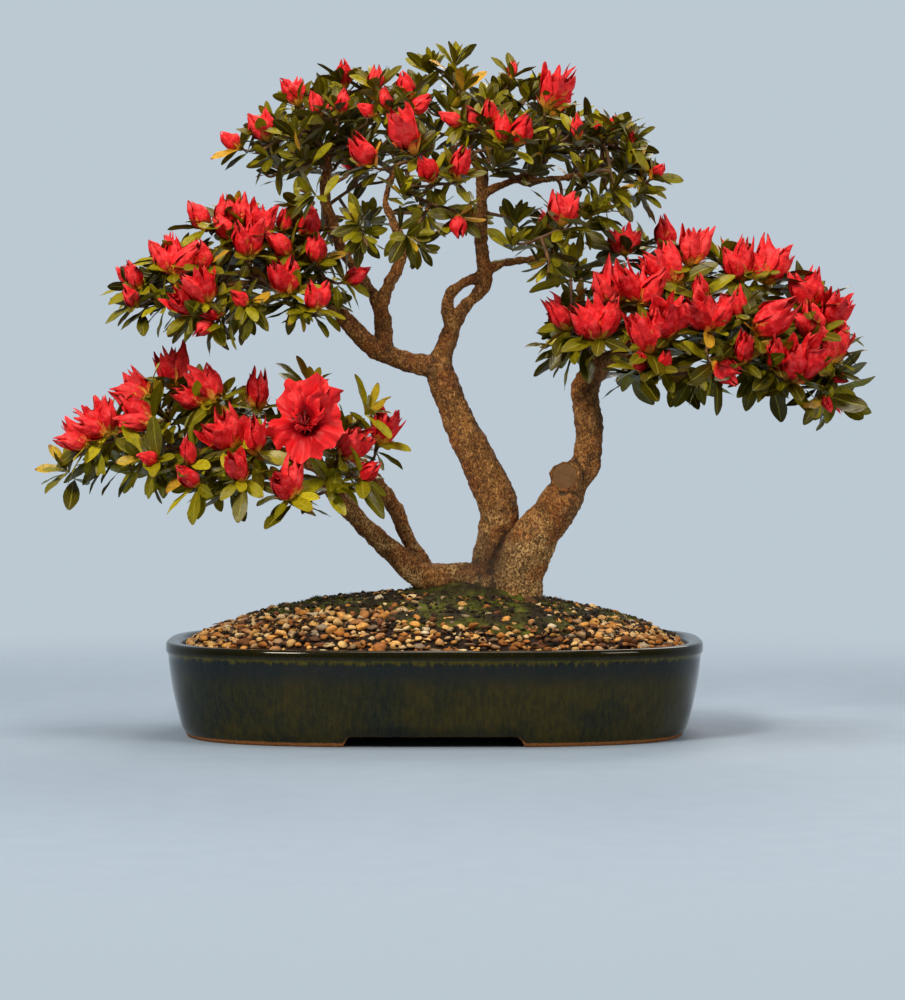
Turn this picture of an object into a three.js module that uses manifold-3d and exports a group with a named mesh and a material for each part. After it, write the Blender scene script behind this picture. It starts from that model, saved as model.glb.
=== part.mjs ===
// A red double-flowered azalea grown as a bonsai, in its oval glazed pot.
// Millimetres, +Z up, X to the right and +Y away from whoever looks at the front.
// The origin is on the surface that the pot stands on, under the middle of the plant's spread.
import * as THREE from "three";
import { mergeVertices } from "three/addons/utils/BufferGeometryUtils.js";
import Module from "manifold-3d";

const wasm = await Module();
wasm.setup();

// Clearances
const SEAT = 0.35; // gap between two pieces that touch
const GROW = 0.4; // how much a solid is swelled to keep its neighbours clear

// Pot
const POT_X = -10;
const POT_HALF_WIDTH = 240;
const POT_HALF_DEPTH = 170;
const POT_HEIGHT = 84;
const POT_WALL = 12;
const POT_SQUARENESS = 3; // exponent of the rounded outline
const POT_SIDES = 32;
const FOOT_RECESS = 10;
const FLOOR_TOP = 20;
const CAVITY_TAPER = 14; // how much narrower the cavity is at its floor
const ARCH_HEIGHT = 9;
const ARCH_HALF_WIDTH = 78;
const END_ARCH_HALF_WIDTH = 42;
const DRAIN_RADIUS = 14;
const DRAIN_X = 105;

// Drain screens
const SCREEN_HALF = 22;
const SCREEN_THICKNESS = 1;
const SCREEN_HOLE = 15;
const SCREEN_PITCH = 10;

// Soil and gravel
const SOIL_EDGE = 72; // height of the soil where it meets the wall
const SOIL_MOUND = 47; // how much higher it is in the middle
const GRAVEL_DEPTH = 7;
const PEBBLE_RELIEF = 2.2;
const GRAVEL_RINGS = 7;
const MOUND_SHARES = [1, 0.75, 0.4]; // where the mound's rings lie
const ROOT_SIDES = 16;
const ROOT_X = 30;
const ROOT_HALF_WIDTH = 62;
const ROOT_HALF_DEPTH = 36;
const ROOT_BOTTOM = 88;

// The place from which the front was judged: a shape at a depth is set out along the line of sight.
const SIGHT_DISTANCE = 3100;
const SIGHT_HEIGHT = 298;
const SIGHT_X = 6;

// Leaves, buds and flowers
const LEAF_LENGTH = 32;
const LEAF_HALF_WIDTH = 6;
const LEAF_RIB = 1; // thickness at the middle of a blade
const LEAF_DROOP = 0.16; // fall of a blade's tip as a share of its length
const LEAF_CLEAR = 2; // the stretch of a blade next to its twig that is left out of the tests
const LEAVES_ON_LEAFY = 4;
const LEAVES_ON_FLOWERING = 2;
const WHORL_HEIGHT = 3;
const WHORL_TURNS = 4; // how many turns of a whorl are tried to keep its leaves clear
const WHORL_TURN = 0.4;
const WHORL_TURN_ON_KNUCKLED = 0.1;
const TWIG_TIP_RADIUS = 1.4;
const TWIG_RADIUS = 1.9;
const TWIG_BENDS = [0, 12, -12, 24, -24]; // sideways bends that are tried to keep a twig clear
const TWIG_LEAVE = 0.03; // how far from the face that it springs from a twig is tested
const TWIG_PART = 2; // the stretch next to a root or knuckle where a twig isn't swelled
const LEAST_REACH = 11; // from a twig's knuckle to its whorl
const LEAST_OUTWARD = -0.3; // cosine of the sharpest lean of a shoot back towards its spray's root
const LEAST_RISE = 0.3; // the same between a twig and the face that it springs from
const LEAST_TURN = 0.45; // cosine of the sharpest turn from a twig into its shoot
const KNUCKLE_HEIGHT = 3.4; // the stretch of a twig that side twigs spring from
const COLLAR_ROWS = 3;
const COLLAR_STEP = 3.6;
const COLLAR_RADIUS = 3;
const RUN_COST = 0.45; // how much a long way round counts when a twig's root is chosen
const BUD_WAIST = 0.285; // half width as a share of length
const BUD_SHOULDER = 0.38; // where a bud is widest, as a share of length
const BUD_NECK = 0.72;
const BUD_LENGTHS = [1, 0.85, 0.7]; // shares of its length that are tried to keep a bud clear
const PETALS_ON_BUD = 5;
const PETAL_THICKNESS = 0.7;
const BLOOM_STEPS = 20;
const BACK_LEFT_OUT = 0.52; // share of the far side's shoots that is left out
const BACK_DEPTH = 0.35; // a shoot nearer the middle of the pad than this has no fellow behind
const MOST_NODES = 60;

const vec = (x, y, z) => new THREE.Vector3(x, y, z);
const UP = vec(0, 0, 1);

// A repeatable stream of draws from 0 to 1.
class Draws {
  constructor(seed) {
    this.state = seed >>> 0;
  }
  next() {
    this.state = (Math.imul(this.state, 1664525) + 1013904223) >>> 0;
    return this.state / 4294967296;
  }
  between(low, high) {
    return low + (high - low) * this.next();
  }
}

// Solids from vertices and triangles, and back to three.js
function solidOf(points, triangles) {
  const vertProperties = new Float32Array(points.flatMap((p) => [p.x, p.y, p.z]));
  const triVerts = new Uint32Array(triangles.flat());
  return new wasm.Manifold(new wasm.Mesh({ numProp: 3, vertProperties, triVerts }));
}

function solidOfGeometry(geometry) {
  const bare = geometry.index ? geometry.toNonIndexed() : geometry.clone();
  bare.deleteAttribute("normal");
  bare.deleteAttribute("uv");
  const merged = mergeVertices(bare, 1e-3);
  const vertProperties = new Float32Array(merged.attributes.position.array);
  const triVerts = new Uint32Array(merged.index.array);
  return new wasm.Manifold(new wasm.Mesh({ numProp: 3, vertProperties, triVerts }));
}

function meshOf(solid, name, material) {
  const { numProp, numVert, vertProperties, triVerts } = solid.getMesh();
  const position = new Float32Array(numVert * 3);
  for (let i = 0; i < numVert; i++) {
    position.set(vertProperties.subarray(i * numProp, i * numProp + 3), i * 3);
  }
  const geometry = new THREE.BufferGeometry();
  geometry.setAttribute("position", new THREE.BufferAttribute(position, 3));
  geometry.setIndex(new THREE.BufferAttribute(new Uint32Array(triVerts), 1));
  geometry.computeVertexNormals();
  const mesh = new THREE.Mesh(geometry, material);
  mesh.name = name;
  return mesh;
}

const union = (solids) => (solids.length === 1 ? solids[0] : wasm.Manifold.union(solids));

function boxesMeet(a, b) {
  const first = a.boundingBox();
  const second = b.boundingBox();
  return [0, 1, 2].every((i) => first.min[i] <= second.max[i] && second.min[i] <= first.max[i]);
}

const meets = (a, b) => boxesMeet(a, b) && a.intersect(b).volume() > 0;

const cutClear = (solid, keepOuts) =>
  keepOuts.reduce((left, keepOut) => (meets(left, keepOut) ? left.subtract(keepOut) : left), solid);

const largestBody = (solid) => solid.decompose().reduce((a, b) => (b.volume() > a.volume() ? b : a));

// A closed skin over rings of equal count, with a fan of triangles over each end.
function loft(rings, start, end) {
  const count = rings[0].length;
  const points = rings.flat();
  const triangles = [];
  for (let r = 0; r + 1 < rings.length; r++) {
    for (let i = 0; i < count; i++) {
      const [a, b] = [r * count + i, r * count + ((i + 1) % count)];
      triangles.push([a, b, b + count], [a, b + count, a + count]);
    }
  }
  const first = points.push(start) - 1;
  const last = points.push(end) - 1;
  const top = (rings.length - 1) * count;
  for (let i = 0; i < count; i++) {
    const j = (i + 1) % count;
    triangles.push([first, j, i], [last, top + i, top + j]);
  }
  return solidOf(points, triangles);
}

// A round limb through stations of { at, radius }, swelled and lengthened by grow.
function limbSolid(stations, sides, grow = 0) {
  const points = stations.map((s) => s.at.clone());
  const last = points.length - 1;
  const along = points.map((p, i) =>
    points[Math.min(i + 1, last)].clone().sub(points[Math.max(i - 1, 0)]).normalize(),
  );
  points[0].addScaledVector(along[0], -grow);
  points[last].addScaledVector(along[last], grow);
  let side = Math.abs(along[0].y) < 0.9 ? vec(0, 1, 0) : vec(1, 0, 0);
  const rings = points.map((p, i) => {
    side = side.clone().addScaledVector(along[i], -side.dot(along[i])).normalize();
    const other = along[i].clone().cross(side);
    return Array.from({ length: sides }, (_, k) => {
      const angle = (2 * Math.PI * k) / sides;
      const radius = stations[i].radius + grow;
      return p
        .clone()
        .addScaledVector(side, radius * Math.cos(angle))
        .addScaledVector(other, radius * Math.sin(angle));
    });
  });
  return loft(rings, points[0], points[last]);
}

// One ring of the pot's rounded outline, inset from its rim and at a height.
function outline(inset, z, count = POT_SIDES) {
  const power = 2 / POT_SQUARENESS;
  return Array.from({ length: count }, (_, i) => {
    const angle = (2 * Math.PI * i) / count;
    const [c, s] = [Math.cos(angle), Math.sin(angle)];
    const x = (POT_HALF_WIDTH - inset) * Math.sign(c) * Math.abs(c) ** power;
    const y = (POT_HALF_DEPTH - inset) * Math.sign(s) * Math.abs(s) ** power;
    return vec(POT_X + x, y, z);
  });
}

// The glazed pot: a tapered wall with a rolled rim, a recessed underside, foot arches and drain holes
function archCutter(halfWidth, turn) {
  const shape = new THREE.Shape();
  shape.moveTo(-halfWidth, -1);
  shape.lineTo(halfWidth, -1);
  shape.lineTo(halfWidth - 3, 3);
  shape.quadraticCurveTo(halfWidth - 5, ARCH_HEIGHT, halfWidth - 10, ARCH_HEIGHT);
  shape.lineTo(10 - halfWidth, ARCH_HEIGHT);
  shape.quadraticCurveTo(5 - halfWidth, ARCH_HEIGHT, 3 - halfWidth, 3);
  const depth = 2 * POT_HALF_WIDTH + 40;
  const geometry = new THREE.ExtrudeGeometry(shape, { depth, bevelEnabled: false, curveSegments: 2 });
  geometry.translate(0, 0, -depth / 2);
  geometry.rotateX(Math.PI / 2);
  geometry.rotateZ(turn);
  geometry.translate(POT_X, 0, 0);
  return solidOfGeometry(geometry);
}

function drainHole(x) {
  const geometry = new THREE.CylinderGeometry(DRAIN_RADIUS, DRAIN_RADIUS, 30, 16);
  geometry.rotateX(Math.PI / 2);
  geometry.translate(POT_X + x, 0, FLOOR_TOP - 5);
  return solidOfGeometry(geometry);
}

const cavityInset = (z) =>
  POT_WALL + 2 + (CAVITY_TAPER * (POT_HEIGHT - 4 - z)) / (POT_HEIGHT - 4 - FLOOR_TOP);

function potSolid() {
  const outside = [
    [21, 0],
    [15, 9],
    [7, 36],
    [1.8, 73],
    [0, 75.5],
    [0, 81.5],
    [2.5, POT_HEIGHT],
  ];
  const inside = [
    [POT_WALL - 2, POT_HEIGHT],
    [POT_WALL + 2, POT_HEIGHT - 4],
    [cavityInset(FLOOR_TOP), FLOOR_TOP],
  ];
  const rings = [...outside, ...inside].map(([inset, z]) => outline(inset, z));
  const body = loft(rings, vec(POT_X, 0, 0), vec(POT_X, 0, FLOOR_TOP));
  const recess = loft(
    [outline(35, -1), outline(35, FOOT_RECESS)],
    vec(POT_X, 0, -1),
    vec(POT_X, 0, FOOT_RECESS),
  );
  const cutters = [
    recess,
    archCutter(ARCH_HALF_WIDTH, 0),
    archCutter(END_ARCH_HALF_WIDTH, Math.PI / 2),
    drainHole(-DRAIN_X),
    drainHole(DRAIN_X),
  ];
  return body.subtract(union(cutters));
}

// A square of plastic mesh that keeps the soil off a drain hole
function drainScreenSolid(x) {
  const z = FLOOR_TOP + SEAT + SCREEN_THICKNESS / 2;
  const block = (size, height, cx, cy) => {
    const geometry = new THREE.BoxGeometry(size, size, height);
    geometry.translate(POT_X + x + cx, cy, z);
    return solidOfGeometry(geometry);
  };
  const holes = [-1, 1].flatMap((i) =>
    [-1, 1].map((j) => block(SCREEN_HOLE, 3, i * SCREEN_PITCH, j * SCREEN_PITCH)),
  );
  return block(2 * SCREEN_HALF, SCREEN_THICKNESS, 0, 0).subtract(union(holes));
}

// Height of the soil mound at a share of the way from the middle (0) to the wall (1).
const moundHeight = (share) => SOIL_EDGE + SOIL_MOUND * Math.max(0, 1 - share * share) ** 0.8;

function rootEllipse(grow, low, high) {
  const ring = (z) =>
    Array.from({ length: ROOT_SIDES }, (_, i) => {
      const angle = (2 * Math.PI * i) / ROOT_SIDES;
      const x = ROOT_X + (ROOT_HALF_WIDTH + grow) * Math.cos(angle);
      return vec(x, (ROOT_HALF_DEPTH + grow) * Math.sin(angle), z);
    });
  return loft([ring(low), ring(high)], vec(ROOT_X, 0, low), vec(ROOT_X, 0, high));
}

const wallInset = (z) => cavityInset(z) + SEAT;

function soilSolid() {
  const base = FLOOR_TOP + SCREEN_THICKNESS + 2 * SEAT;
  const dome = MOUND_SHARES.map((share) =>
    outline(wallInset(SOIL_EDGE), 0).map((p) =>
      vec(POT_X + (p.x - POT_X) * share, p.y * share, moundHeight(share)),
    ),
  );
  const rings = [outline(wallInset(base), base), ...dome];
  const body = loft(rings, vec(POT_X, 0, base), vec(POT_X, 0, moundHeight(0)));
  return body.subtract(rootEllipse(SEAT, ROOT_BOTTOM - SEAT, 200));
}

// The gravel dressing follows the mound, with its pebbles as a low relief.
function gravelSolid() {
  const draws = new Draws(11);
  const edge = outline(wallInset(SOIL_EDGE), 0);
  const lay = (share, lift) =>
    edge.map((p) => vec(POT_X + (p.x - POT_X) * share, p.y * share, moundHeight(share) + lift));
  const under = [...MOUND_SHARES].reverse().map((share) => lay(share, SEAT));
  const over = Array.from({ length: GRAVEL_RINGS }, (_, r) => {
    const share = 1 - r / GRAVEL_RINGS;
    return lay(share, GRAVEL_DEPTH).map((p, i) => {
      if (r === 0) return p;
      const bump = PEBBLE_RELIEF * ((i + r) % 2 ? 1 : -0.6);
      const slide = draws.between(-4, 4) * share;
      return vec(p.x + slide, p.y + draws.between(-4, 4) * share, p.z + bump + draws.between(-0.6, 0.6));
    });
  });
  const [low, high] = [moundHeight(0) + SEAT, moundHeight(0) + GRAVEL_DEPTH];
  const body = loft([...under, ...over], vec(POT_X, 0, low), vec(POT_X, 0, high));
  return body.subtract(rootEllipse(SEAT, 50, 200));
}

// The tree's skeleton: limbs as [x, y, z, radius] stations, in the order in which they grew
const LIMBS = {
  rightTrunk: {
    sides: 8,
    stations: [
      [62, -4, 108, 24],
      [64, -5, 140, 23.5],
      [77, -8, 172, 21.5],
      [92, -10, 192, 18.5],
      [105, -12, 211, 17.5],
      [116, -11, 228, 15],
      [126, -9, 240, 13],
      [129, -6, 266, 12],
      [129, -5, 280, 13],
      [126, -4, 295, 12.3],
      [126, -3, 309, 12.4],
      [134, -3, 323, 10.5],
      [145, -4, 334, 8.5],
    ],
  },
  middleTrunk: {
    sides: 8,
    stations: [
      [36, 6, 108, 19],
      [40, 8, 154, 16.5],
      [46, 8, 181, 17],
      [47, 7, 201, 18],
      [39, 6, 224, 17],
      [27.5, 5, 248, 16],
      [16, 4, 271, 14.5],
      [6, 4, 296, 13],
      [-2, 4, 316, 13.5],
      [-5, 4, 332, 11.5],
      [0, 4, 347, 8.7],
      [8, 4, 372, 7],
    ],
  },
  leftTrunk: {
    sides: 7,
    stations: [
      [44, -2, 128, 14],
      [22, -3, 140, 11.5],
      [-9, -5, 139, 12],
      [-23, -6, 142, 12.6],
      [-48, -10, 162, 10.2],
      [-64, -12, 177, 8.6],
      [-94, -16, 208, 7.8],
      [-107, -18, 224, 6.6],
      [-115, -20, 238, 5.8],
      [-146, -23, 247, 4.6],
      [-194, -24, 249, 3.8],
      [-222, -24, 252, 3.3],
      [-252, -24, 256, 2.8],
    ],
  },
  leftFork: {
    sides: 6,
    stations: [
      [-20, -4, 147, 8],
      [-30, 0, 166, 6.8],
      [-39, 2, 184, 6.8],
      [-46, 3, 201, 6.6],
      [-56, 2, 216, 5.6],
      [-63, 0, 229, 4.6],
      [-69, -4, 240, 3.8],
    ],
  },
  graftLeft: {
    sides: 5,
    stations: [
      [5, 4, 364, 7],
      [1, 4, 381, 5.8],
      [4, 4, 394, 5.3],
      [15, 4, 403, 5],
      [27, 4, 408, 5],
      [35, 4, 412, 5.6],
    ],
  },
  graftRight: {
    sides: 5,
    stations: [
      [6, 4, 366, 7],
      [19, 4, 384, 5.6],
      [28, 4, 393, 5.6],
      [35, 4, 402, 6.6],
      [35, 4, 414, 7],
      [32, 4, 442, 5.8],
      [33, 4, 474, 5],
      [29, 4, 505, 4],
      [22, 4, 522, 3.4],
    ],
  },
  leftArm: {
    sides: 6,
    stations: [
      [-4, 4, 326, 11],
      [-43, 0, 335, 9],
      [-70, -5, 348, 8.6],
      [-83, -9, 362, 7.8],
      [-94, -14, 375, 7],
      [-104, -18, 387, 6.2],
      [-134, -25, 399, 4.7],
      [-156, -28, 401, 4.2],
      [-205, -31, 401, 3.2],
      [-226, -32, 400, 2.7],
    ],
  },
  leftArmFork: {
    sides: 6,
    stations: [
      [-56, -2, 340, 8.5],
      [-56, 2, 356, 8],
      [-57, 6, 372, 7.8],
      [-68, 10, 397, 5],
      [-87, 13, 423, 4.8],
      [-96, 12, 439, 5.2],
      [-108, 8, 474, 5.2],
      [-109, 6, 492, 4.6],
      [-106, 4, 510, 4],
      [-110, 2, 524, 3.4],
    ],
  },
  crownLeftFork: {
    sides: 5,
    stations: [
      [-58, 7, 384, 6.4],
      [-52, 8, 400, 5.6],
      [-39, 7, 428, 4.6],
      [-41, 4, 444, 4.2],
      [-54, -4, 474, 3.4],
      [-50, -8, 492, 3],
      [-44, -10, 506, 2.8],
    ],
  },
  crownRightArm: {
    sides: 5,
    stations: [
      [34, 4, 414, 5],
      [46, 7, 420, 4.4],
      [57, 10, 422, 4],
      [70, 14, 424, 3.8],
      [84, 18, 428, 3.4],
      [97, 22, 433, 3],
      [106, 24, 443, 2.7],
    ],
  },
  crownUpperArm: {
    sides: 5,
    stations: [
      [33, 4, 482, 4],
      [46, 2, 490, 3.8],
      [78, -2, 502, 3.2],
      [88, -4, 510, 2.8],
    ],
  },
  crownFarArm: {
    sides: 4,
    stations: [
      [62, 0, 496, 3],
      [82, 4, 496, 2.9],
      [104, 6, 498, 2.8],
      [126, 6, 501, 2.6],
      [140, 4, 505, 2.5],
    ],
  },
  crownBackArm: {
    sides: 4,
    stations: [
      [31, 4, 470, 3.6],
      [34, 22, 484, 3.2],
      [36, 40, 500, 2.8],
      [36, 52, 516, 2.6],
    ],
  },
  crownLowLeft: {
    sides: 4,
    stations: [
      [-90, 13, 428, 3.6],
      [-98, 26, 438, 3],
      [-106, 38, 452, 2.7],
      [-112, 46, 468, 2.5],
    ],
  },
  rightPadMain: {
    sides: 5,
    stations: [
      [140, -4, 330, 8.5],
      [156, -6, 340, 7],
      [176, -8, 344, 6],
      [198, -9, 345, 5.2],
      [222, -10, 344, 4.6],
      [248, -11, 341, 4],
      [272, -12, 339, 3.5],
      [294, -13, 338, 3],
    ],
  },
  rightPadLeft: {
    sides: 4,
    stations: [
      [137, -3, 325, 5],
      [130, -14, 336, 3.8],
      [122, -26, 345, 3.2],
      [118, -36, 352, 2.8],
    ],
  },
  rightPadFront: {
    sides: 4,
    stations: [
      [172, -8, 344, 4.5],
      [182, -24, 350, 3.6],
      [192, -40, 352, 3],
      [198, -52, 352, 2.7],
    ],
  },
  rightPadBack: {
    sides: 4,
    stations: [
      [176, -8, 344, 4.5],
      [186, 12, 354, 3.6],
      [198, 30, 364, 3.1],
      [208, 44, 372, 2.7],
    ],
  },
  rightPadTop: {
    sides: 4,
    stations: [
      [222, -10, 344, 4],
      [236, -16, 356, 3.3],
      [248, -18, 368, 2.8],
    ],
  },
  lowPadFront: {
    sides: 4,
    stations: [
      [-168, -24, 248, 3.6],
      [-180, -38, 252, 3],
      [-190, -52, 256, 2.7],
    ],
  },
  lowPadBack: {
    sides: 4,
    stations: [
      [-140, -23, 246, 3.8],
      [-152, -4, 256, 3.2],
      [-164, 14, 266, 2.8],
    ],
  },
  midPadFront: {
    sides: 4,
    stations: [
      [-156, -28, 401, 3.6],
      [-166, -42, 406, 3],
      [-174, -54, 410, 2.7],
    ],
  },
  midPadBack: {
    sides: 4,
    stations: [
      [-134, -25, 399, 3.8],
      [-144, -8, 410, 3.2],
      [-152, 8, 420, 2.8],
    ],
  },
  midPadInner: {
    sides: 4,
    stations: [
      [-104, -18, 387, 4],
      [-106, -30, 397, 3.2],
      [-108, -40, 404, 2.8],
    ],
  },
};

// Pads of foliage: their middle, half sizes, the limbs that end in them, and their shoots.
// A shoot is [x, z, lean, buds, bud length] as seen from the front: where its buds or its
// topmost leaves spring, its lean from upright in degrees, and 0 buds on a leafy shoot.
const PADS = {
  low: {
    seed: 101,
    centre: [-200, -22, 232],
    half: [165, 88, 82],
    limbs: ["leftTrunk", "lowPadFront", "lowPadBack", "leftFork"],
    shoots: [
      [-322, 259, -62, 2, 32],
      [-304, 269, -38, 3, 32],
      [-268, 300, -58, 2, 32],
      [-264, 279, -72, 2, 36],
      [-245, 311, -8, 2, 36],
      [-220, 296, -75, 1, 32],
      [-207, 298, -28, 2, 36],
      [-169, 291, 5, 1, 34],
      [-192, 258, -35, 2, 38],
      [-184, 228, -25, 1, 34],
      [-172, 252, -6, 1, 34],
      [-230, 241, -12, 1, 30],
      [-224, 222, -50, 1, 24],
      [-260, 244, -80, 1, 20],
      [-140, 212, -8, 2, 34],
      [-92, 248, 42, 2, 36],
      [-59, 260, 25, 2, 32],
      [-75, 228, 50, 1, 24],
      [-349, 246, -35, 0, 0],
      [-284, 250, -65, 0, 0],
      [-193, 302, 12, 0, 0],
      [-106, 240, 4, 0, 0],
      [-88, 284, 12, 0, 0],
    ],
  },
  middle: {
    seed: 202,
    centre: [-182, -28, 384],
    half: [112, 78, 82],
    limbs: ["leftArm", "midPadFront", "midPadBack", "midPadInner"],
    shoots: [
      [-275, 399, -25, 1, 26],
      [-278, 384, -35, 1, 22],
      [-256, 425, -30, 1, 20],
      [-244, 413, 0, 3, 36],
      [-216, 417, -15, 1, 28],
      [-214, 388, -25, 2, 34],
      [-229, 378, -50, 1, 30],
      [-201, 376, -88, 1, 22],
      [-211, 368, -140, 1, 24],
      [-180, 385, -55, 1, 22],
      [-215, 453, -30, 1, 28],
      [-201, 455, 5, 1, 27],
      [-185, 455, -8, 2, 28],
      [-190, 444, -50, 1, 28],
      [-179, 428, 0, 2, 34],
      [-170, 444, 15, 2, 36],
      [-146, 450, 0, 1, 22],
      [-140, 430, -45, 1, 32],
      [-125, 443, 8, 1, 28],
      [-115, 422, -12, 1, 26],
      [-142, 396, -3, 2, 32],
      [-117, 381, 8, 2, 27],
      [-90, 405, 62, 1, 24],
      [-266, 388, -70, 0, 0],
      [-239, 437, -10, 0, 0],
      [-170, 376, 150, 0, 0],
      [-130, 372, 165, 0, 0],
    ],
  },
  crown: {
    seed: 303,
    centre: [4, 6, 498],
    half: [204, 118, 100],
    limbs: [
      "leftArmFork",
      "crownLeftFork",
      "graftRight",
      "crownUpperArm",
      "crownFarArm",
      "crownRightArm",
      "crownBackArm",
      "crownLowLeft",
    ],
    shoots: [
      [-185, 525, -52, 1, 22],
      [-160, 534, -20, 2, 28],
      [-132, 565, -20, 2, 28],
      [-113, 555, -25, 1, 22],
      [-90, 581, -10, 1, 22],
      [-62, 577, -8, 1, 24],
      [-95, 557, 12, 1, 23],
      [-64, 554, -60, 1, 20],
      [-53, 560, -5, 1, 20],
      [-33, 570, -15, 1, 24],
      [-66, 510, -35, 1, 32],
      [-30, 523, -28, 1, 42],
      [-13, 496, -20, 1, 28],
      [11, 498, 12, 1, 32],
      [14, 546, -62, 1, 26],
      [-30, 556, 50, 1, 20],
      [27, 544, -20, 1, 22],
      [40, 545, 3, 1, 27],
      [52, 530, -5, 1, 28],
      [64, 530, 30, 1, 29],
      [91, 561, 25, 2, 40],
      [59, 588, 5, 1, 15],
      [119, 534, -8, 1, 23],
      [138, 536, -10, 1, 15],
      [151, 539, 5, 1, 17],
      [166, 529, 8, 1, 14],
      [185, 498, 42, 1, 18],
      [105, 458, 8, 2, 28],
      [11, 462, 175, 1, 22],
      [-16, 606, -10, 0, 0],
      [9, 612, 5, 0, 0],
      [38, 574, 0, 0, 0],
      [76, 581, 8, 0, 0],
      [-112, 583, -12, 0, 0],
      [-171, 521, -70, 0, 0],
      [-140, 521, -60, 0, 0],
      [175, 518, 40, 0, 0],
      [163, 488, 75, 0, 0],
      [188, 486, 80, 0, 0],
      [130, 512, 20, 0, 0],
      [-40, 492, -10, 0, 0],
      [-4, 478, 20, 0, 0],
      [-131, 487, -70, 0, 0],
      [-86, 466, -40, 0, 0],
      [-70, 436, 160, 0, 0],
      [-24, 440, 120, 0, 0],
      [130, 474, 20, 0, 0],
      [148, 474, 50, 0, 0],
      [92, 412, 190, 0, 0],
      [60, 446, 0, 0, 0],
    ],
  },
  right: {
    seed: 404,
    centre: [222, -8, 336],
    half: [152, 104, 102],
    limbs: ["rightPadMain", "rightPadLeft", "rightPadFront", "rightPadBack", "rightPadTop"],
    shoots: [
      [161, 431, 0, 3, 26],
      [200, 435, -8, 1, 28],
      [205, 403, -30, 2, 38],
      [220, 420, 10, 2, 36],
      [265, 407, -10, 2, 36],
      [288, 406, 0, 3, 38],
      [326, 381, -10, 2, 38],
      [344, 365, 25, 2, 34],
      [332, 357, -25, 2, 28],
      [347, 333, 3, 2, 34],
      [349, 320, 110, 1, 16],
      [339, 302, 150, 1, 18],
      [296, 326, -3, 1, 34],
      [310, 317, 27, 2, 44],
      [267, 333, 5, 1, 32],
      [279, 358, 42, 1, 44],
      [262, 374, -15, 2, 26],
      [236, 362, 0, 3, 38],
      [200, 355, 5, 2, 40],
      [184, 343, -8, 2, 40],
      [175, 326, -5, 1, 21],
      [195, 326, 8, 1, 22],
      [110, 364, -38, 1, 34],
      [150, 386, -18, 2, 38],
      [139, 355, -10, 3, 38],
      [175, 386, 0, 3, 34],
      [242, 330, 120, 2, 26],
      [229, 390, -5, 1, 24],
      [103, 352, -75, 0, 0],
      [228, 314, 175, 0, 0],
      [288, 314, 160, 0, 0],
      [336, 345, 40, 0, 0],
    ],
  },
};

// The one flower that is fully open, low on the left, facing the front
const BLOOM = { pad: "low", x: -124, z: 270, across: 68, facing: [-0.1, -0.97, 0.12] };

const stationsOf = (limb) =>
  limb.stations.map(([x, y, z, radius]) => ({ at: vec(x, y, z), radius }));

function cutScar(from, toward, radius, reach, grow) {
  const end = vec(...from).addScaledVector(vec(...toward).normalize(), reach);
  const stations = [
    { at: vec(...from), radius },
    { at: end, radius },
  ];
  return limbSolid(stations, 12, grow);
}

function woodSolid(grow = 0) {
  const limbs = Object.values(LIMBS).map((limb) => limbSolid(stationsOf(limb), limb.sides, grow));
  return union([
    ...limbs,
    rootEllipse(grow, ROOT_BOTTOM - grow, 118 + grow),
    cutScar([113, -12, 226], [-0.36, -0.9, 0.24], 12.5, 17, grow),
    cutScar([-3, 4, 322], [-0.6, -0.78, 0.1], 7.5, 13, grow),
  ]);
}

// A place seen from the front at [x, z] and lying at depth y.
function seen(x, z, y) {
  const share = (SIGHT_DISTANCE + y) / SIGHT_DISTANCE;
  return vec(SIGHT_X + (x - SIGHT_X) * share, y, SIGHT_HEIGHT + (z - SIGHT_HEIGHT) * share);
}

function growth(lean, outward) {
  const angle = THREE.MathUtils.degToRad(lean);
  return vec(Math.sin(angle), outward * 0.7, Math.cos(angle)).normalize();
}

// The shoots of a pad: those seen from the front, and their fellows on the far side.
function shootsOf(pad) {
  const draws = new Draws(pad.seed);
  const [middleX, middleY, middleZ] = pad.centre;
  const [halfX, halfY, halfZ] = pad.half;
  const front = pad.shoots.map(([x, z, lean, buds, length]) => {
    const across = (x - middleX) / halfX;
    const rise = Math.sqrt(Math.max(0.05, 1 - across * across));
    const height = Math.min(1, Math.max(0, (z - middleZ) / (halfZ * rise)));
    const depth = rise * (1 - height) ** 0.6;
    return { x, z, lean, buds, length, depth };
  });
  const back = [];
  for (const shoot of front) {
    const [slide, lift, turn] = [draws.between(-14, 14), draws.between(-8, 8), draws.between(-15, 15)];
    const [kind, share, kept] = [draws.next(), draws.between(0.75, 1), draws.next()];
    if (shoot.depth < BACK_DEPTH || kept < BACK_LEFT_OUT) continue;
    const buds = Math.min(shoot.buds, 1);
    const length = shoot.length * (0.85 + 0.2 * kind);
    const lean = shoot.lean + turn;
    back.push({ x: shoot.x + slide, z: shoot.z + lift, lean, buds, length, depth: -shoot.depth * share });
  }
  return [...front, ...back].map(({ x, z, lean, buds, length, depth }) => ({
    tip: seen(x, z, middleY - depth * halfY),
    along: growth(lean, -depth),
    buds,
    length,
  }));
}

// Two directions square to the given one
function acrossOf(along) {
  const side = (Math.abs(along.z) < 0.9 ? UP.clone() : vec(1, 0, 0)).cross(along).normalize();
  return [side, along.clone().cross(side)];
}

// Solids that a new one has to keep clear of
class Neighbours {
  constructor() {
    this.items = [];
  }
  add(solid, owner) {
    this.items.push({ solid, owner, box: solid.boundingBox() });
  }
  cross(solid, spared = []) {
    const box = solid.boundingBox();
    const near = (item) =>
      !spared.includes(item.owner) &&
      [0, 1, 2].every((i) => item.box.min[i] <= box.max[i] && box.min[i] <= item.box.max[i]);
    return this.items.some((item) => near(item) && item.solid.intersect(solid).volume() > 0);
  }
}

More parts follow.
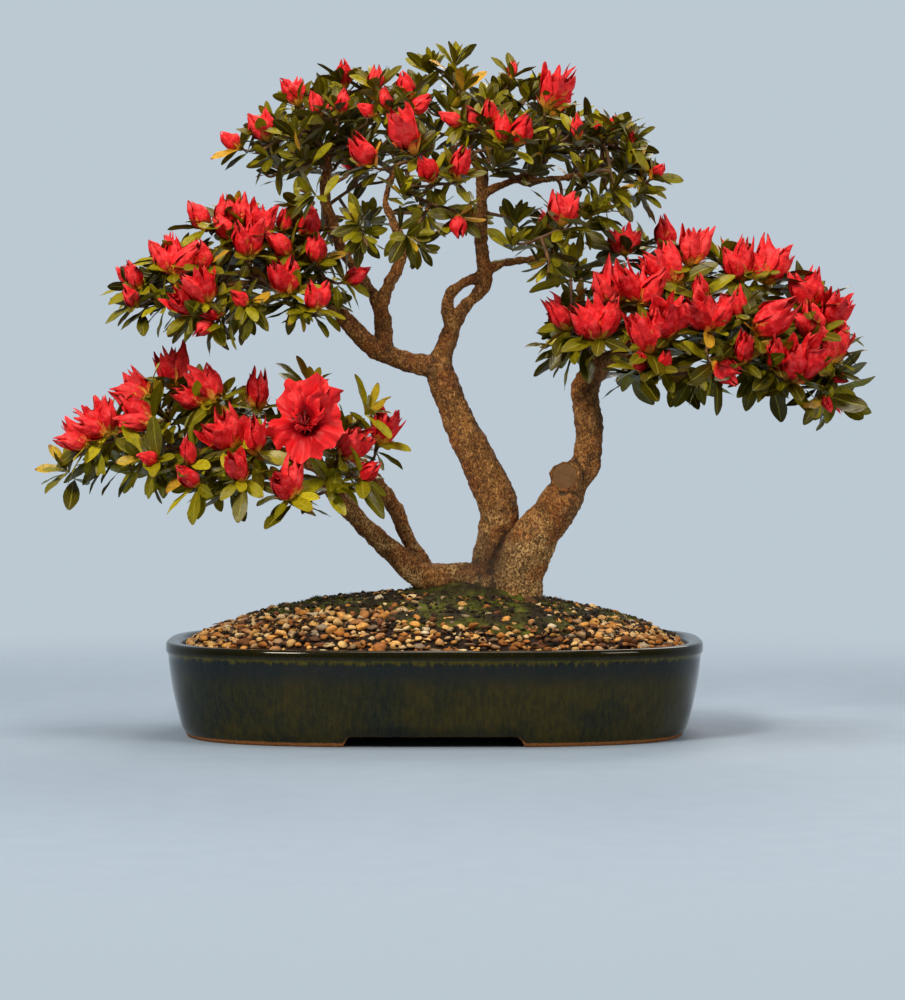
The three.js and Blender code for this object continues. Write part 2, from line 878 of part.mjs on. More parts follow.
// A closed skin that is put together face by face. Corners shared by two faces are one object.
class Skin {
  constructor() {
    this.points = [];
    this.places = new Map();
    this.triangles = [];
  }
  place(point) {
    if (!this.places.has(point)) this.places.set(point, this.points.push(point) - 1);
    return this.places.get(point);
  }
  face(...corners) {
    const [first, ...rest] = corners.map((corner) => this.place(corner));
    for (let i = 0; i + 1 < rest.length; i++) this.triangles.push([first, rest[i], rest[i + 1]]);
  }
  bridge(lower, upper) {
    lower.forEach((corner, k) => {
      const next = (k + 1) % lower.length;
      this.face(corner, lower[next], upper[next], upper[k]);
    });
  }
  solid() {
    return solidOf(this.points, this.triangles);
  }
}

const middleOf = (corners) =>
  corners.reduce((sum, corner) => sum.add(corner), vec(0, 0, 0)).divideScalar(corners.length);

// Four corners round a point, the first of them towards side as far as the heading lets it be
function squareRing(at, heading, side, radius) {
  const first = side.clone().addScaledVector(heading, -side.dot(heading)).normalize();
  const second = heading.clone().cross(first);
  return [first, second, first.clone().negate(), second.clone().negate()].map((way) =>
    at.clone().addScaledVector(way, radius),
  );
}

const carried = (side, from, to) =>
  side.clone().applyQuaternion(new THREE.Quaternion().setFromUnitVectors(from, to));

// The four sides between two rings, each of which one twig may spring from
function facesBetween(lower, upper, run) {
  return lower.map((corner, k) => {
    const next = (k + 1) % lower.length;
    const corners = [corner, lower[next], upper[next], upper[k]];
    const normal = corners[1].clone().sub(corners[0]).cross(corners[3].clone().sub(corners[0])).normalize();
    return { corners, centre: middleOf(corners), normal, run, twig: null };
  });
}

// The thick foot of a spray, which meets the end of its limb
function growCollar(spray) {
  const [side] = acrossOf(spray.along);
  spray.rings = Array.from({ length: COLLAR_ROWS + 1 }, (_, i) => {
    const at = spray.at.clone().addScaledVector(spray.along, SEAT + COLLAR_STEP * i);
    return squareRing(at, spray.along, side, i ? Math.min(spray.radius, COLLAR_RADIUS) : spray.radius);
  });
  const rows = spray.rings.slice(1).map((ring, i) => facesBetween(spray.rings[i], ring, 0));
  const corners = spray.rings[COLLAR_ROWS];
  const end = { corners, centre: middleOf(corners), normal: spray.along, run: 0, twig: null };
  spray.faces = [end, ...rows.slice(1).flat()];
  spray.footFaces = rows[0];
}

const collarStations = ({ at, along, radius }) => [
  { at, radius },
  { at: at.clone().addScaledVector(along, SEAT + COLLAR_STEP * COLLAR_ROWS), radius: COLLAR_RADIUS },
];

// A twig from a free face to the tip of a shoot, bent sideways at its knuckle
function twigFrom(face, shoot, bend) {
  const foot = shoot.tip.clone().addScaledVector(shoot.along, -WHORL_HEIGHT);
  const reach = face.centre.distanceTo(foot);
  const arrive = foot.clone().addScaledVector(shoot.along, -0.45 * reach);
  const middle = arrive.lerp(face.centre, 0.35).add(vec(0.4 * bend, bend, 0));
  const heading = foot.clone().sub(face.centre).normalize();
  const [first, second, , fourth] = face.corners;
  const across = second.clone().sub(first).normalize();
  const corner = across.add(fourth.clone().sub(first).normalize()).negate();
  const side = carried(corner, face.normal, heading);
  const low = squareRing(middle, heading, side, TWIG_RADIUS);
  const lift = heading.clone().multiplyScalar(KNUCKLE_HEIGHT);
  const high = low.map((corner) => corner.clone().add(lift));
  const run = face.run + face.centre.distanceTo(middle);
  const faces = facesBetween(low, high, run);
  const twig = { face, shoot, foot, middle, low, high, faces, bend, heading, side, form: "knuckled" };
  turnWhorl(twig, 0, GROW);
  return twig;
}

// The rings at the two ends of a whorl: swelled for the tests, as a whorl is turned later on
function turnWhorl(twig, turn, grow = 0) {
  const { along, tip } = twig.shoot;
  const side = carried(twig.side, twig.heading, along).applyAxisAngle(along, turn);
  twig.whorlFoot = squareRing(twig.foot, along, side, TWIG_TIP_RADIUS + grow);
  twig.whorlTop = squareRing(tip, along, side, TWIG_TIP_RADIUS + grow);
}

// The stretches of a twig below and above its knuckle, or its one straight stretch, as plain solids
function stemParts(twig, grow = 0) {
  const { face, middle, foot, shoot } = twig;
  const start = face.centre.clone().addScaledVector(middle.clone().sub(face.centre).normalize(), TWIG_PART);
  const above = middleOf(twig.high);
  above.addScaledVector(foot.clone().sub(above).normalize(), TWIG_PART);
  const before = foot.clone().addScaledVector(shoot.along, -1.5);
  const part = (from, to) =>
    limbSolid(
      [
        { at: from, radius: TWIG_RADIUS },
        { at: to, radius: TWIG_RADIUS },
      ],
      4,
      grow,
    );
  return twig.form === "straight" ? [part(start, before)] : [part(start, middle), part(above, before)];
}

// A twig as it is drawn, a hair off the face that it springs from
function tubeSolid(twig) {
  const { face, low, high, whorlFoot, whorlTop } = twig;
  const skin = new Skin();
  const base = face.corners.map((corner) => corner.clone().addScaledVector(face.normal, TWIG_LEAVE));
  const between = { straight: [], bent: [low], knuckled: [low, high] };
  const rings = [base, ...between[twig.form], whorlFoot, whorlTop];
  skin.face(...[...base].reverse());
  for (let i = 0; i + 1 < rings.length; i++) skin.bridge(rings[i], rings[i + 1]);
  skin.face(...whorlTop);
  return skin.solid();
}

// The room that a whorl and the feet of its leaves take up
function whorlRoom({ foot, shoot }) {
  const stations = [
    { at: foot.clone().addScaledVector(shoot.along, -2), radius: 4.4 },
    { at: shoot.tip.clone().addScaledVector(shoot.along, 1), radius: 5 },
  ];
  return limbSolid(stations, 6);
}

// Whether a stretch of twig from a face to a ring stands off that face and isn't pinched
function leavesWell(face, ring, heading) {
  const centre = middleOf(ring);
  const way = centre.sub(face.centre).normalize();
  const above = (corner) => corner.clone().sub(face.centre).dot(face.normal) > 0.4;
  return way.dot(face.normal) > LEAST_RISE && way.dot(heading) > LEAST_TURN && ring.every(above);
}

function springsFreely(twig) {
  const { face, low, middle, foot, shoot, heading } = twig;
  const turn = foot.clone().sub(middle).normalize();
  const turns = turn.dot(shoot.along) > LEAST_TURN && turn.dot(heading) > LEAST_TURN;
  return turns && middle.distanceTo(foot) > LEAST_REACH && leavesWell(face, low, heading);
}

// Each shoot's twig springs from the nearest free face of its spray, counted from the spray's root.
// The shoots that find no clear way are handed back.
function growTwigs(spray, shoots, grown) {
  const faces = [...spray.faces, ...spray.twigs.flatMap((twig) => twig.faces)];
  const left = [];
  const gap = (shoot) => shoot.tip.distanceTo(spray.at);
  for (const shoot of [...shoots].sort((a, b) => gap(a) - gap(b))) {
    const outward = shoot.tip.clone().sub(spray.at).normalize();
    while (outward.dot(shoot.along) < LEAST_OUTWARD) shoot.along.addScaledVector(outward, 0.2).normalize();
    const cost = (face) => face.centre.distanceTo(shoot.tip) + RUN_COST * face.run;
    const free = faces.filter((face) => !face.twig).sort((a, b) => cost(a) - cost(b));
    const isClear = (twig) =>
      springsFreely(twig) && ![tubeSolid(twig), whorlRoom(twig)].some((part) => grown.cross(part, [spray]));
    const choices = free.flatMap((face) => TWIG_BENDS.map((bend) => ({ face, bend })));
    const choice = choices.find(({ face, bend }) => isClear(twigFrom(face, shoot, bend)));
    if (!choice) {
      left.push(shoot);
      continue;
    }
    const twig = twigFrom(choice.face, shoot, choice.bend);
    choice.face.twig = twig;
    faces.push(...twig.faces);
    spray.twigs.push(twig);
    for (const part of stemParts(twig, GROW)) grown.add(part, spray);
    for (const part of [tubeSolid(twig), whorlRoom(twig)]) grown.add(part, "tube");
  }
  return left;
}

// A pad's shoots grow from the nearest spray, and those with no way there from one further off.
function growPad(sprays, grown) {
  const left = sprays.flatMap((spray) => growTwigs(spray, spray.shoots, grown));
  for (const shoot of left) {
    const gap = (spray) => spray.at.distanceTo(shoot.tip);
    const others = [...sprays].sort((a, b) => gap(a) - gap(b)).slice(1);
    others.find((spray) => growTwigs(spray, [shoot], grown).length === 0);
  }
}

// A leaf's outline from its left shoulder round its blunt tip to its right shoulder, and its rib
function leafPoints({ root, along, right, length, halfWidth }, grow = 0) {
  const up = along.clone().cross(right);
  const place = (share, across, lift) =>
    root
      .clone()
      .addScaledVector(along, share * length + (share > 0.5 ? grow : 0))
      .addScaledVector(right, across * (halfWidth + grow))
      .addScaledVector(up, lift - LEAF_DROOP * share * share * length);
  return [
    place(0.52, -1, -grow),
    place(0.97, -0.34, -grow),
    place(0.97, 0.34, -grow),
    place(0.52, 1, -grow),
    place(0.5, 0, LEAF_RIB + grow),
  ];
}

// The free part of a leaf, swelled, for the tests on what it would cross
function leafReach(leaf, corners) {
  const skin = new Skin();
  const start = corners.map((corner) => corner.clone().addScaledVector(leaf.along, LEAF_CLEAR));
  drawLeaf(skin, leaf, start, GROW);
  skin.face(...[...start].reverse());
  return skin.solid();
}

// Where a leaf would spring from each side of a whorl
function leafPlaces(twig, draws) {
  const axis = twig.shoot.along;
  return facesBetween(twig.whorlFoot, twig.whorlTop, 0).map(({ corners, centre, normal }) => {
    const right = corners[1].clone().sub(corners[0]).normalize();
    const open = draws.between(1.1, 1.6);
    const along = axis.clone().multiplyScalar(Math.cos(open)).addScaledVector(normal, Math.sin(open));
    along.z -= 0.25;
    along.normalize();
    right.addScaledVector(along, -right.dot(along)).normalize();
    const length = LEAF_LENGTH * draws.between(0.82, 1.12);
    const halfWidth = LEAF_HALF_WIDTH * draws.between(0.88, 1.1);
    return { root: centre, along, right, length, halfWidth, corners };
  });
}

// A whorl is turned until as many leaves as it should have are clear of what grows round it.
function placeLeaves(twig, wanted, neighbours, draws) {
  const most = twig.form === "knuckled" ? WHORL_TURN_ON_KNUCKLED : WHORL_TURN;
  let best = { leaves: [], turn: 0 };
  for (let attempt = 0; attempt < WHORL_TURNS; attempt++) {
    const turn = most * draws.between(-1, 1);
    turnWhorl(twig, turn);
    const leaves = leafPlaces(twig, draws).map((leaf) => {
      const solid = leafReach(leaf, leaf.corners);
      return neighbours.cross(solid, [twig]) ? null : { ...leaf, solid };
    });
    const clear = leaves.filter(Boolean).length;
    if (clear > best.leaves.filter(Boolean).length) best = { leaves, turn };
    if (clear >= wanted) break;
  }
  turnWhorl(twig, best.turn);
  let spare = best.leaves.filter(Boolean).length - wanted;
  twig.leaves = best.leaves.map((leaf) => (leaf && spare-- > 0 ? null : leaf));
  for (const leaf of twig.leaves.filter(Boolean)) neighbours.add(leaf.solid, twig.shoot);
}

function drawLeaf(skin, leaf, [footLeft, footRight, topRight, topLeft], grow = 0) {
  const [left, tipLeft, tipRight, right, rib] = leafPoints(leaf, grow);
  const edge = [topLeft, left, tipLeft, tipRight, right, topRight];
  edge.forEach((corner, i) => skin.face(corner, edge[(i + 1) % edge.length], rib));
  skin.face(footLeft, footRight, right);
  skin.face(footLeft, right, left);
  skin.face(left, right, tipRight, tipLeft);
  skin.face(topLeft, footLeft, left);
  skin.face(footRight, topRight, right);
}

// A twig that nothing springs from goes straight to its shoot, or has no knuckle, where that is clear.
function simplify(twigs, wood) {
  const around = new Neighbours();
  around.add(wood, "wood");
  for (const twig of twigs) {
    for (const part of [tubeSolid(twig), whorlRoom(twig)]) around.add(part, twig);
  }
  for (const twig of twigs) {
    if (twig.faces.some((face) => face.twig)) continue;
    const mayGoStraight = !twig.bend && leavesWell(twig.face, twig.whorlFoot, twig.shoot.along);
    const forms = mayGoStraight ? ["straight", "bent"] : ["bent"];
    const isClear = (form) => !around.cross(tubeSolid({ ...twig, form }), [twig]);
    twig.form = forms.find(isClear) ?? "knuckled";
    around.add(tubeSolid(twig), twig);
  }
}

// A small bud that grows in one with its twig: two rings and a point
function drawBud(skin, twig) {
  const { along, tip } = twig.shoot;
  const length = twig.budLength;
  const side = twig.whorlTop[0].clone().sub(tip);
  const ring = (share, width) =>
    squareRing(tip.clone().addScaledVector(along, share * length), along, side, width * BUD_WAIST * length);
  const [shoulder, neck] = [ring(BUD_SHOULDER, 0.86), ring(BUD_NECK, 0.74)];
  const point = tip.clone().addScaledVector(along, length);
  skin.bridge(twig.whorlTop, shoulder);
  skin.bridge(shoulder, neck);
  neck.forEach((corner, k) => skin.face(corner, neck[(k + 1) % neck.length], point));
}

function drawFace(skin, face) {
  if (face.twig) drawTwig(skin, face.twig);
  else skin.face(...face.corners);
}

function drawTwig(skin, twig) {
  if (twig.form === "straight") {
    skin.bridge(twig.face.corners, twig.whorlFoot);
  } else if (twig.form === "bent") {
    skin.bridge(twig.face.corners, twig.low);
    skin.bridge(twig.low, twig.whorlFoot);
  } else {
    skin.bridge(twig.face.corners, twig.low);
    for (const face of twig.faces) drawFace(skin, face);
    skin.bridge(twig.high, twig.whorlFoot);
  }
  facesBetween(twig.whorlFoot, twig.whorlTop, 0).forEach(({ corners }, k) => {
    if (twig.leaves?.[k]) drawLeaf(skin, twig.leaves[k], corners);
    else skin.face(...corners);
  });
  if (twig.budLength) drawBud(skin, twig);
  else skin.face(...twig.whorlTop);
}

// A spray as one closed skin: its foot, its twigs, their leaves and their small buds
function spraySolid(spray) {
  const skin = new Skin();
  const [first] = spray.rings;
  skin.face(first[3], first[2], first[1], first[0]);
  for (const face of spray.footFaces) drawFace(skin, face);
  for (const face of spray.faces) drawFace(skin, face);
  return skin.solid();
}

// A bud with its petals still furled: a waisted cup whose five petal tips stand round the middle
function budSolid(base, along, length, turn) {
  const [side, other] = acrossOf(along);
  const at = (share, radius, angle) =>
    base
      .clone()
      .addScaledVector(along, share * length)
      .addScaledVector(side, radius * BUD_WAIST * length * Math.cos(turn + angle))
      .addScaledVector(other, radius * BUD_WAIST * length * Math.sin(turn + angle));
  const count = 2 * PETALS_ON_BUD;
  const points = [base.clone(), at(0.78, 0, 0)];
  const triangles = [];
  for (let k = 0; k < PETALS_ON_BUD; k++) {
    const angle = (2 * Math.PI * k) / PETALS_ON_BUD;
    points.push(at(BUD_SHOULDER, 1, angle));
  }
  for (let k = 0; k < count; k++) {
    const angle = (2 * Math.PI * k) / count;
    points.push(k % 2 ? at(0.7, 0.86, angle) : at(1, 0.55, angle));
  }
  const rim = 2 + PETALS_ON_BUD;
  for (let k = 0; k < PETALS_ON_BUD; k++) {
    const [low, nextLow] = [2 + k, 2 + ((k + 1) % PETALS_ON_BUD)];
    const [peak, dip, nextPeak] = [rim + 2 * k, rim + 2 * k + 1, rim + ((2 * k + 2) % count)];
    triangles.push([0, nextLow, low], [low, nextLow, dip], [low, dip, peak], [nextLow, nextPeak, dip]);
    triangles.push([1, peak, dip], [1, dip, nextPeak]);
  }
  return solidOf(points, triangles);
}

// The buds that one shoot carries, leaning apart from each other
function clusterSolid(shoot, share, draws) {
  const base = shoot.tip.clone().addScaledVector(shoot.along, SEAT);
  const [side, other] = acrossOf(shoot.along);
  const start = draws.between(0, 2 * Math.PI);
  const buds = Array.from({ length: shoot.buds }, (_, i) => {
    const around = start + (2 * Math.PI * i) / shoot.buds;
    const spread = shoot.buds > 1 ? draws.between(0.42, 0.52) : 0;
    const length = share * shoot.length * (shoot.buds > 1 ? draws.between(0.9, 1.05) : 1);
    const along = shoot.along
      .clone()
      .addScaledVector(side, spread * Math.cos(around))
      .addScaledVector(other, spread * Math.sin(around))
      .normalize();
    return budSolid(base, along, length, draws.between(0, 1));
  });
  return union(buds);
}

// The open flower: a waved outer funnel and a smaller one inside it, as one closed skin.
// Each ring is [radius, height, share of the wave], from under the throat out and back in.
function bloomSolid(shoot) {
  const { along, tip } = shoot;
  const [side, other] = acrossOf(along);
  const half = BLOOM.across / 2;
  const outer = [
    [3.4, 0, 0],
    [5.5, 9, 0],
    [15, 16, 0.3],
    [half, 15, 1],
  ];
  const inner = [
    [7.5, 13, 0],
    [14, 23, 0.5],
    [half * 0.66, 28, 1],
  ];
  const lift = ([radius, height, share]) => [radius, height + 2 * PETAL_THICKNESS, share];
  const rows = [
    ...outer.map((row) => [...row, 0, false]),
    ...[...outer].reverse().slice(0, 2).map((row) => [...lift(row), 0, true]),
    ...inner.map((row) => [...row, 1, false]),
    ...[...inner].reverse().map((row) => [...lift(row), 1, true]),
    [2.5, 8, 0, 1, true],
  ];
  const points = [];
  for (const [radius, height, share, layer] of rows) {
    for (let k = 0; k < BLOOM_STEPS; k++) {
      const angle = (2 * Math.PI * k) / BLOOM_STEPS;
      const lobe = Math.cos(5 * angle + Math.PI * layer);
      const wide = radius * (1 + 0.09 * share * lobe);
      const high = height + share * (2 * Math.sin(7 * angle + layer) - 2 * lobe);
      points.push(
        tip
          .clone()
          .addScaledVector(along, SEAT + high)
          .addScaledVector(side, wide * Math.cos(angle))
          .addScaledVector(other, wide * Math.sin(angle)),
      );
    }
  }
  const triangles = [];
  for (let r = 0; r + 1 < rows.length; r++) {
    for (let k = 0; k < BLOOM_STEPS; k++) {
      const [a, b] = [r * BLOOM_STEPS + k, r * BLOOM_STEPS + ((k + 1) % BLOOM_STEPS)];
      const [c, d] = [a + BLOOM_STEPS, b + BLOOM_STEPS];
      if (rows[r + 1][4]) triangles.push([a, b, c], [b, d, c]);
      else triangles.push([a, b, d], [a, d, c]);
    }
  }
  const first = points.push(tip.clone().addScaledVector(along, SEAT)) - 1;
  const last = points.push(tip.clone().addScaledVector(along, SEAT + 6)) - 1;
  const end = (rows.length - 1) * BLOOM_STEPS;
  for (let k = 0; k < BLOOM_STEPS; k++) {
    const next = (k + 1) % BLOOM_STEPS;
    triangles.push([first, next, k], [last, end + k, end + next]);
  }
  return solidOf(points, triangles);
}

// The sprays: every shoot of a pad goes to the nearest limb end.
function spraysOf(name, pad) {
  const sprays = pad.limbs.map((limb, i) => {
    const [before, last] = stationsOf(LIMBS[limb]).slice(-2);
    const along = last.at.clone().sub(before.at).normalize();
    const spray = { name: `spray_${name}_${i + 1}`, pad: name, at: last.at, along, radius: last.radius };
    return { ...spray, shoots: [], twigs: [] };
  });
  const shoots = shootsOf(pad);
  if (BLOOM.pad === name) {
    const tip = seen(BLOOM.x, BLOOM.z, pad.centre[1] - pad.half[1] * 0.7);
    shoots.push({ tip, along: vec(...BLOOM.facing).normalize(), buds: 0, length: 0, bloom: true });
  }
  for (const shoot of shoots) {
    const gap = (spray) => spray.at.distanceTo(shoot.tip);
    sprays.reduce((best, spray) => (gap(spray) < gap(best) ? spray : best)).shoots.push(shoot);
  }
  sprays.forEach(growCollar);
  return sprays;
}

// Flowers that touch are joined, so that each one is a body of its own.
function joinTouching(flowers) {
  const groups = [];
  for (const flower of flowers) {
    const touching = groups.filter((group) => meets(group.solid, flower.solid));
    const solid = union([flower.solid, ...touching.map((group) => group.solid)]);
    const members = [flower, ...touching.flatMap((group) => group.members)];
    groups.splice(0, groups.length, ...groups.filter((group) => !touching.includes(group)));
    groups.push({ solid, members });
  }
  return groups;
}

// The stalk that joins flowers without a node of their own to their twig
function budStalk({ tip, along }) {
  const stations = [
    { at: tip.clone().addScaledVector(along, -2), radius: 0.9 },
    { at: tip.clone().addScaledVector(along, 5), radius: 0.9 },
  ];
  return limbSolid(stations, 3);
}

// Finishes
const finish = (color, roughness) => new THREE.MeshStandardMaterial({ color, roughness, metalness: 0 });
const GLAZE = finish(0x26352f, 0.12);
const PLASTIC = finish(0x1d1f1c, 0.6);
const EARTH = finish(0x4a3524, 0.95);
const PEBBLES = finish(0xb58a55, 0.8);
const BARK = finish(0x7a5433, 0.9);
const LEAF = finish(0x4d5f22, 0.5);
const PETAL = finish(0xd3202e, 0.55);

function addPotAndSoil(bonsai, gravel) {
  bonsai.add(meshOf(potSolid(), "pot", GLAZE));
  bonsai.add(meshOf(drainScreenSolid(-DRAIN_X), "drain_screen_left", PLASTIC));
  bonsai.add(meshOf(drainScreenSolid(DRAIN_X), "drain_screen_right", PLASTIC));
  bonsai.add(meshOf(soilSolid(), "soil", EARTH));
  bonsai.add(meshOf(gravel, "gravel", PEBBLES));
}

// Each flower keeps clear of the wood and of every other twig: it is smaller there, or is cut.
function openFlowers(sprays, wood) {
  const draws = new Draws(7);
  const around = new Neighbours();
  around.add(wood, "wood");
  const twigs = sprays.flatMap((spray) => spray.twigs);
  for (const twig of twigs) {
    for (const part of stemParts(twig, GROW)) around.add(part, "stem");
    around.add(whorlRoom(twig), twig);
  }
  return twigs
    .filter(({ shoot }) => shoot.buds || shoot.bloom)
    .map((twig) => {
      const shape = (share) => (twig.shoot.bloom ? bloomSolid(twig.shoot) : clusterSolid(twig.shoot, share, draws));
      const sizes = BUD_LENGTHS.map((share) => ({ share, solid: shape(share) }));
      const clear = sizes.find(({ solid }) => !around.cross(solid, [twig]));
      const { share, solid } = clear ?? sizes[0];
      const keepOuts = around.items.filter((item) => item.owner !== twig).map((item) => item.solid);
      return { twig, share, isWhole: Boolean(clear), solid: clear ? solid : largestBody(cutClear(solid, keepOuts)) };
    });
}

// One bud alone and uncut grows in one skin with its twig.
function growBudsIn(groups) {
  const rest = [];
  for (const group of groups) {
    const [{ twig, share, isWhole }] = group.members;
    const isPlain = group.members.length === 1 && isWhole && twig.shoot.buds === 1;
    if (isPlain) twig.budLength = share * twig.shoot.length;
    else rest.push(group);
  }
  return rest;
}

function growLeaves(sprays, groups, wood) {
  const around = new Neighbours();
  around.add(wood, "wood");
  for (const group of groups) around.add(group.solid, "flowers");
  const twigs = sprays.flatMap((spray) => spray.twigs);
  for (const twig of twigs) {
    for (const part of stemParts(twig, GROW)) around.add(part, "stem");
    for (const part of [tubeSolid(twig), whorlRoom(twig)]) around.add(part, twig);
  }
  const draws = new Draws(5);
  for (const twig of twigs) {
    const flowering = twig.shoot.buds || twig.shoot.bloom;
    placeLeaves(twig, flowering ? LEAVES_ON_FLOWERING : LEAVES_ON_LEAFY, around, draws);
  }
}

function buildBonsai() {
  const bonsai = new THREE.Group();
  bonsai.name = "azalea_bonsai";
  const gravel = gravelSolid();
  addPotAndSoil(bonsai, gravel);

  const wood = largestBody(woodSolid().subtract(gravel.translate([0, 0, GROW])));
  bonsai.add(meshOf(wood, "trunk", BARK));

  const wideWood = woodSolid(GROW);
  const pads = Object.entries(PADS).map(([name, pad]) => spraysOf(name, pad));
  const sprays = pads.flat();
  const grown = new Neighbours();
  grown.add(wideWood, "wood");
  for (const spray of sprays) grown.add(limbSolid(collarStations(spray), 4, GROW), spray);
  for (const pad of pads) growPad(pad, grown);
  simplify(sprays.flatMap((spray) => spray.twigs), wideWood);

  const groups = joinTouching(openFlowers(sprays, wideWood));
  groups.sort((a, b) => b.solid.volume() - a.solid.volume());
  const ownNodes = MOST_NODES - bonsai.children.length - sprays.length;
  const separate = groups.slice(0, ownNodes);
  const joined = growBudsIn(groups.slice(ownNodes));
  growLeaves(sprays, groups, wideWood);

  for (const spray of sprays) {
    const buds = joined.filter((group) => spray.twigs.includes(group.members[0].twig));
    const stalks = buds.flatMap((group) => group.members.map(({ twig }) => budStalk(twig.shoot)));
    const whole = union([spraySolid(spray), ...stalks, ...buds.map((group) => group.solid)]);
    bonsai.add(meshOf(largestBody(whole), spray.name, LEAF));
  }
  const counts = {};
  for (const group of separate) {
    const pad = sprays.find((spray) => spray.twigs.includes(group.members[0].twig)).pad;
    counts[pad] = (counts[pad] ?? 0) + 1;
    bonsai.add(meshOf(group.solid, `flowers_${pad}_${counts[pad]}`, PETAL));
  }
  return bonsai;
}

export default buildBonsai();
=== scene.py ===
"""A red double-flowered azalea grown as a bonsai, in its oval glazed pot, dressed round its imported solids."""

import logging
import math
from collections.abc import Callable, Sequence
from dataclasses import dataclass, field
from enum import Enum
from math import cos, pi, sin, sqrt

import bmesh
import bpy
from mathutils import Matrix, Vector, noise


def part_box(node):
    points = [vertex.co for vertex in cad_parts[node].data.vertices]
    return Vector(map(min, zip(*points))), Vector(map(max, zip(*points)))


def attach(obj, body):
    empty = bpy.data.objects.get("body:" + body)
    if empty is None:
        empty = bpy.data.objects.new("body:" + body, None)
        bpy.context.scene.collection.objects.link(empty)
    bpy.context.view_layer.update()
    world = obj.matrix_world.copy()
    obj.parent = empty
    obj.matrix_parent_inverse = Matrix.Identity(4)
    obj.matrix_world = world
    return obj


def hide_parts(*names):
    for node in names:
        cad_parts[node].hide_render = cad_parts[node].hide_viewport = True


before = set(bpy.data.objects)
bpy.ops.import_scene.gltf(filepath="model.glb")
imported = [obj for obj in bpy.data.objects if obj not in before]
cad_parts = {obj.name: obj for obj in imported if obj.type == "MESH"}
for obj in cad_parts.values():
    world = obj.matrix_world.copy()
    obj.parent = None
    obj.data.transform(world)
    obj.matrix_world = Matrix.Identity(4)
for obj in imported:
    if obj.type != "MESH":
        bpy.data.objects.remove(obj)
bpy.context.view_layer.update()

# Numbers in a row, and the point of a surface at (across, along), each from 0 to 1
Three = tuple[float, float, float]
Four = tuple[float, float, float, float]
Surface = Callable[[float, float], Vector]

LOG = logging.getLogger("azalea_bonsai")
MM = 0.001
FULL_TURN = 2 * pi
NOISE_SEED = 7
BODY = "root"

# The pot, its soil mound and the foot of the trunks, in millimetres
POT_X = -10.0
POT_HALF_WIDTH = 240.0
POT_HALF_DEPTH = 170.0
POT_HEIGHT = 84.0
POT_WALL = 12.0
POT_SQUARENESS = 3.0
FOOT_RECESS = 10.0
FLOOR_TOP = 20.0
CAVITY_TAPER = 14.0
ARCH_HEIGHT = 9.0
ARCH_HALF_WIDTH = 78.0
END_ARCH_HALF_WIDTH = 42.0
DRAIN_RADIUS = 14.0
DRAIN_X = 105.0
SOIL_EDGE = 72.0
SOIL_MOUND = 47.0
GRAVEL_DEPTH = 7.0
ROOT_X = 30.0
ROOT_HALF_WIDTH = 62.0
ROOT_HALF_DEPTH = 36.0
ROOT_BOTTOM = 88.0

# The place from which the front was judged, in millimetres and degrees below level
SIGHT_DISTANCE = 3100.0
SIGHT_HEIGHT = 298.0
SIGHT_X = 6.0
SIGHT_TILT = 1.66
SIGHT_LENS = 124.0

# How the shoots on a pad's far side differ from those in front, in millimetres, degrees and shares
BACK_SLIDE = 14.0
BACK_LIFT = 8.0
BACK_TURN = 15.0
BACK_LEFT_OUT = 0.52
BACK_DEPTH = 0.35

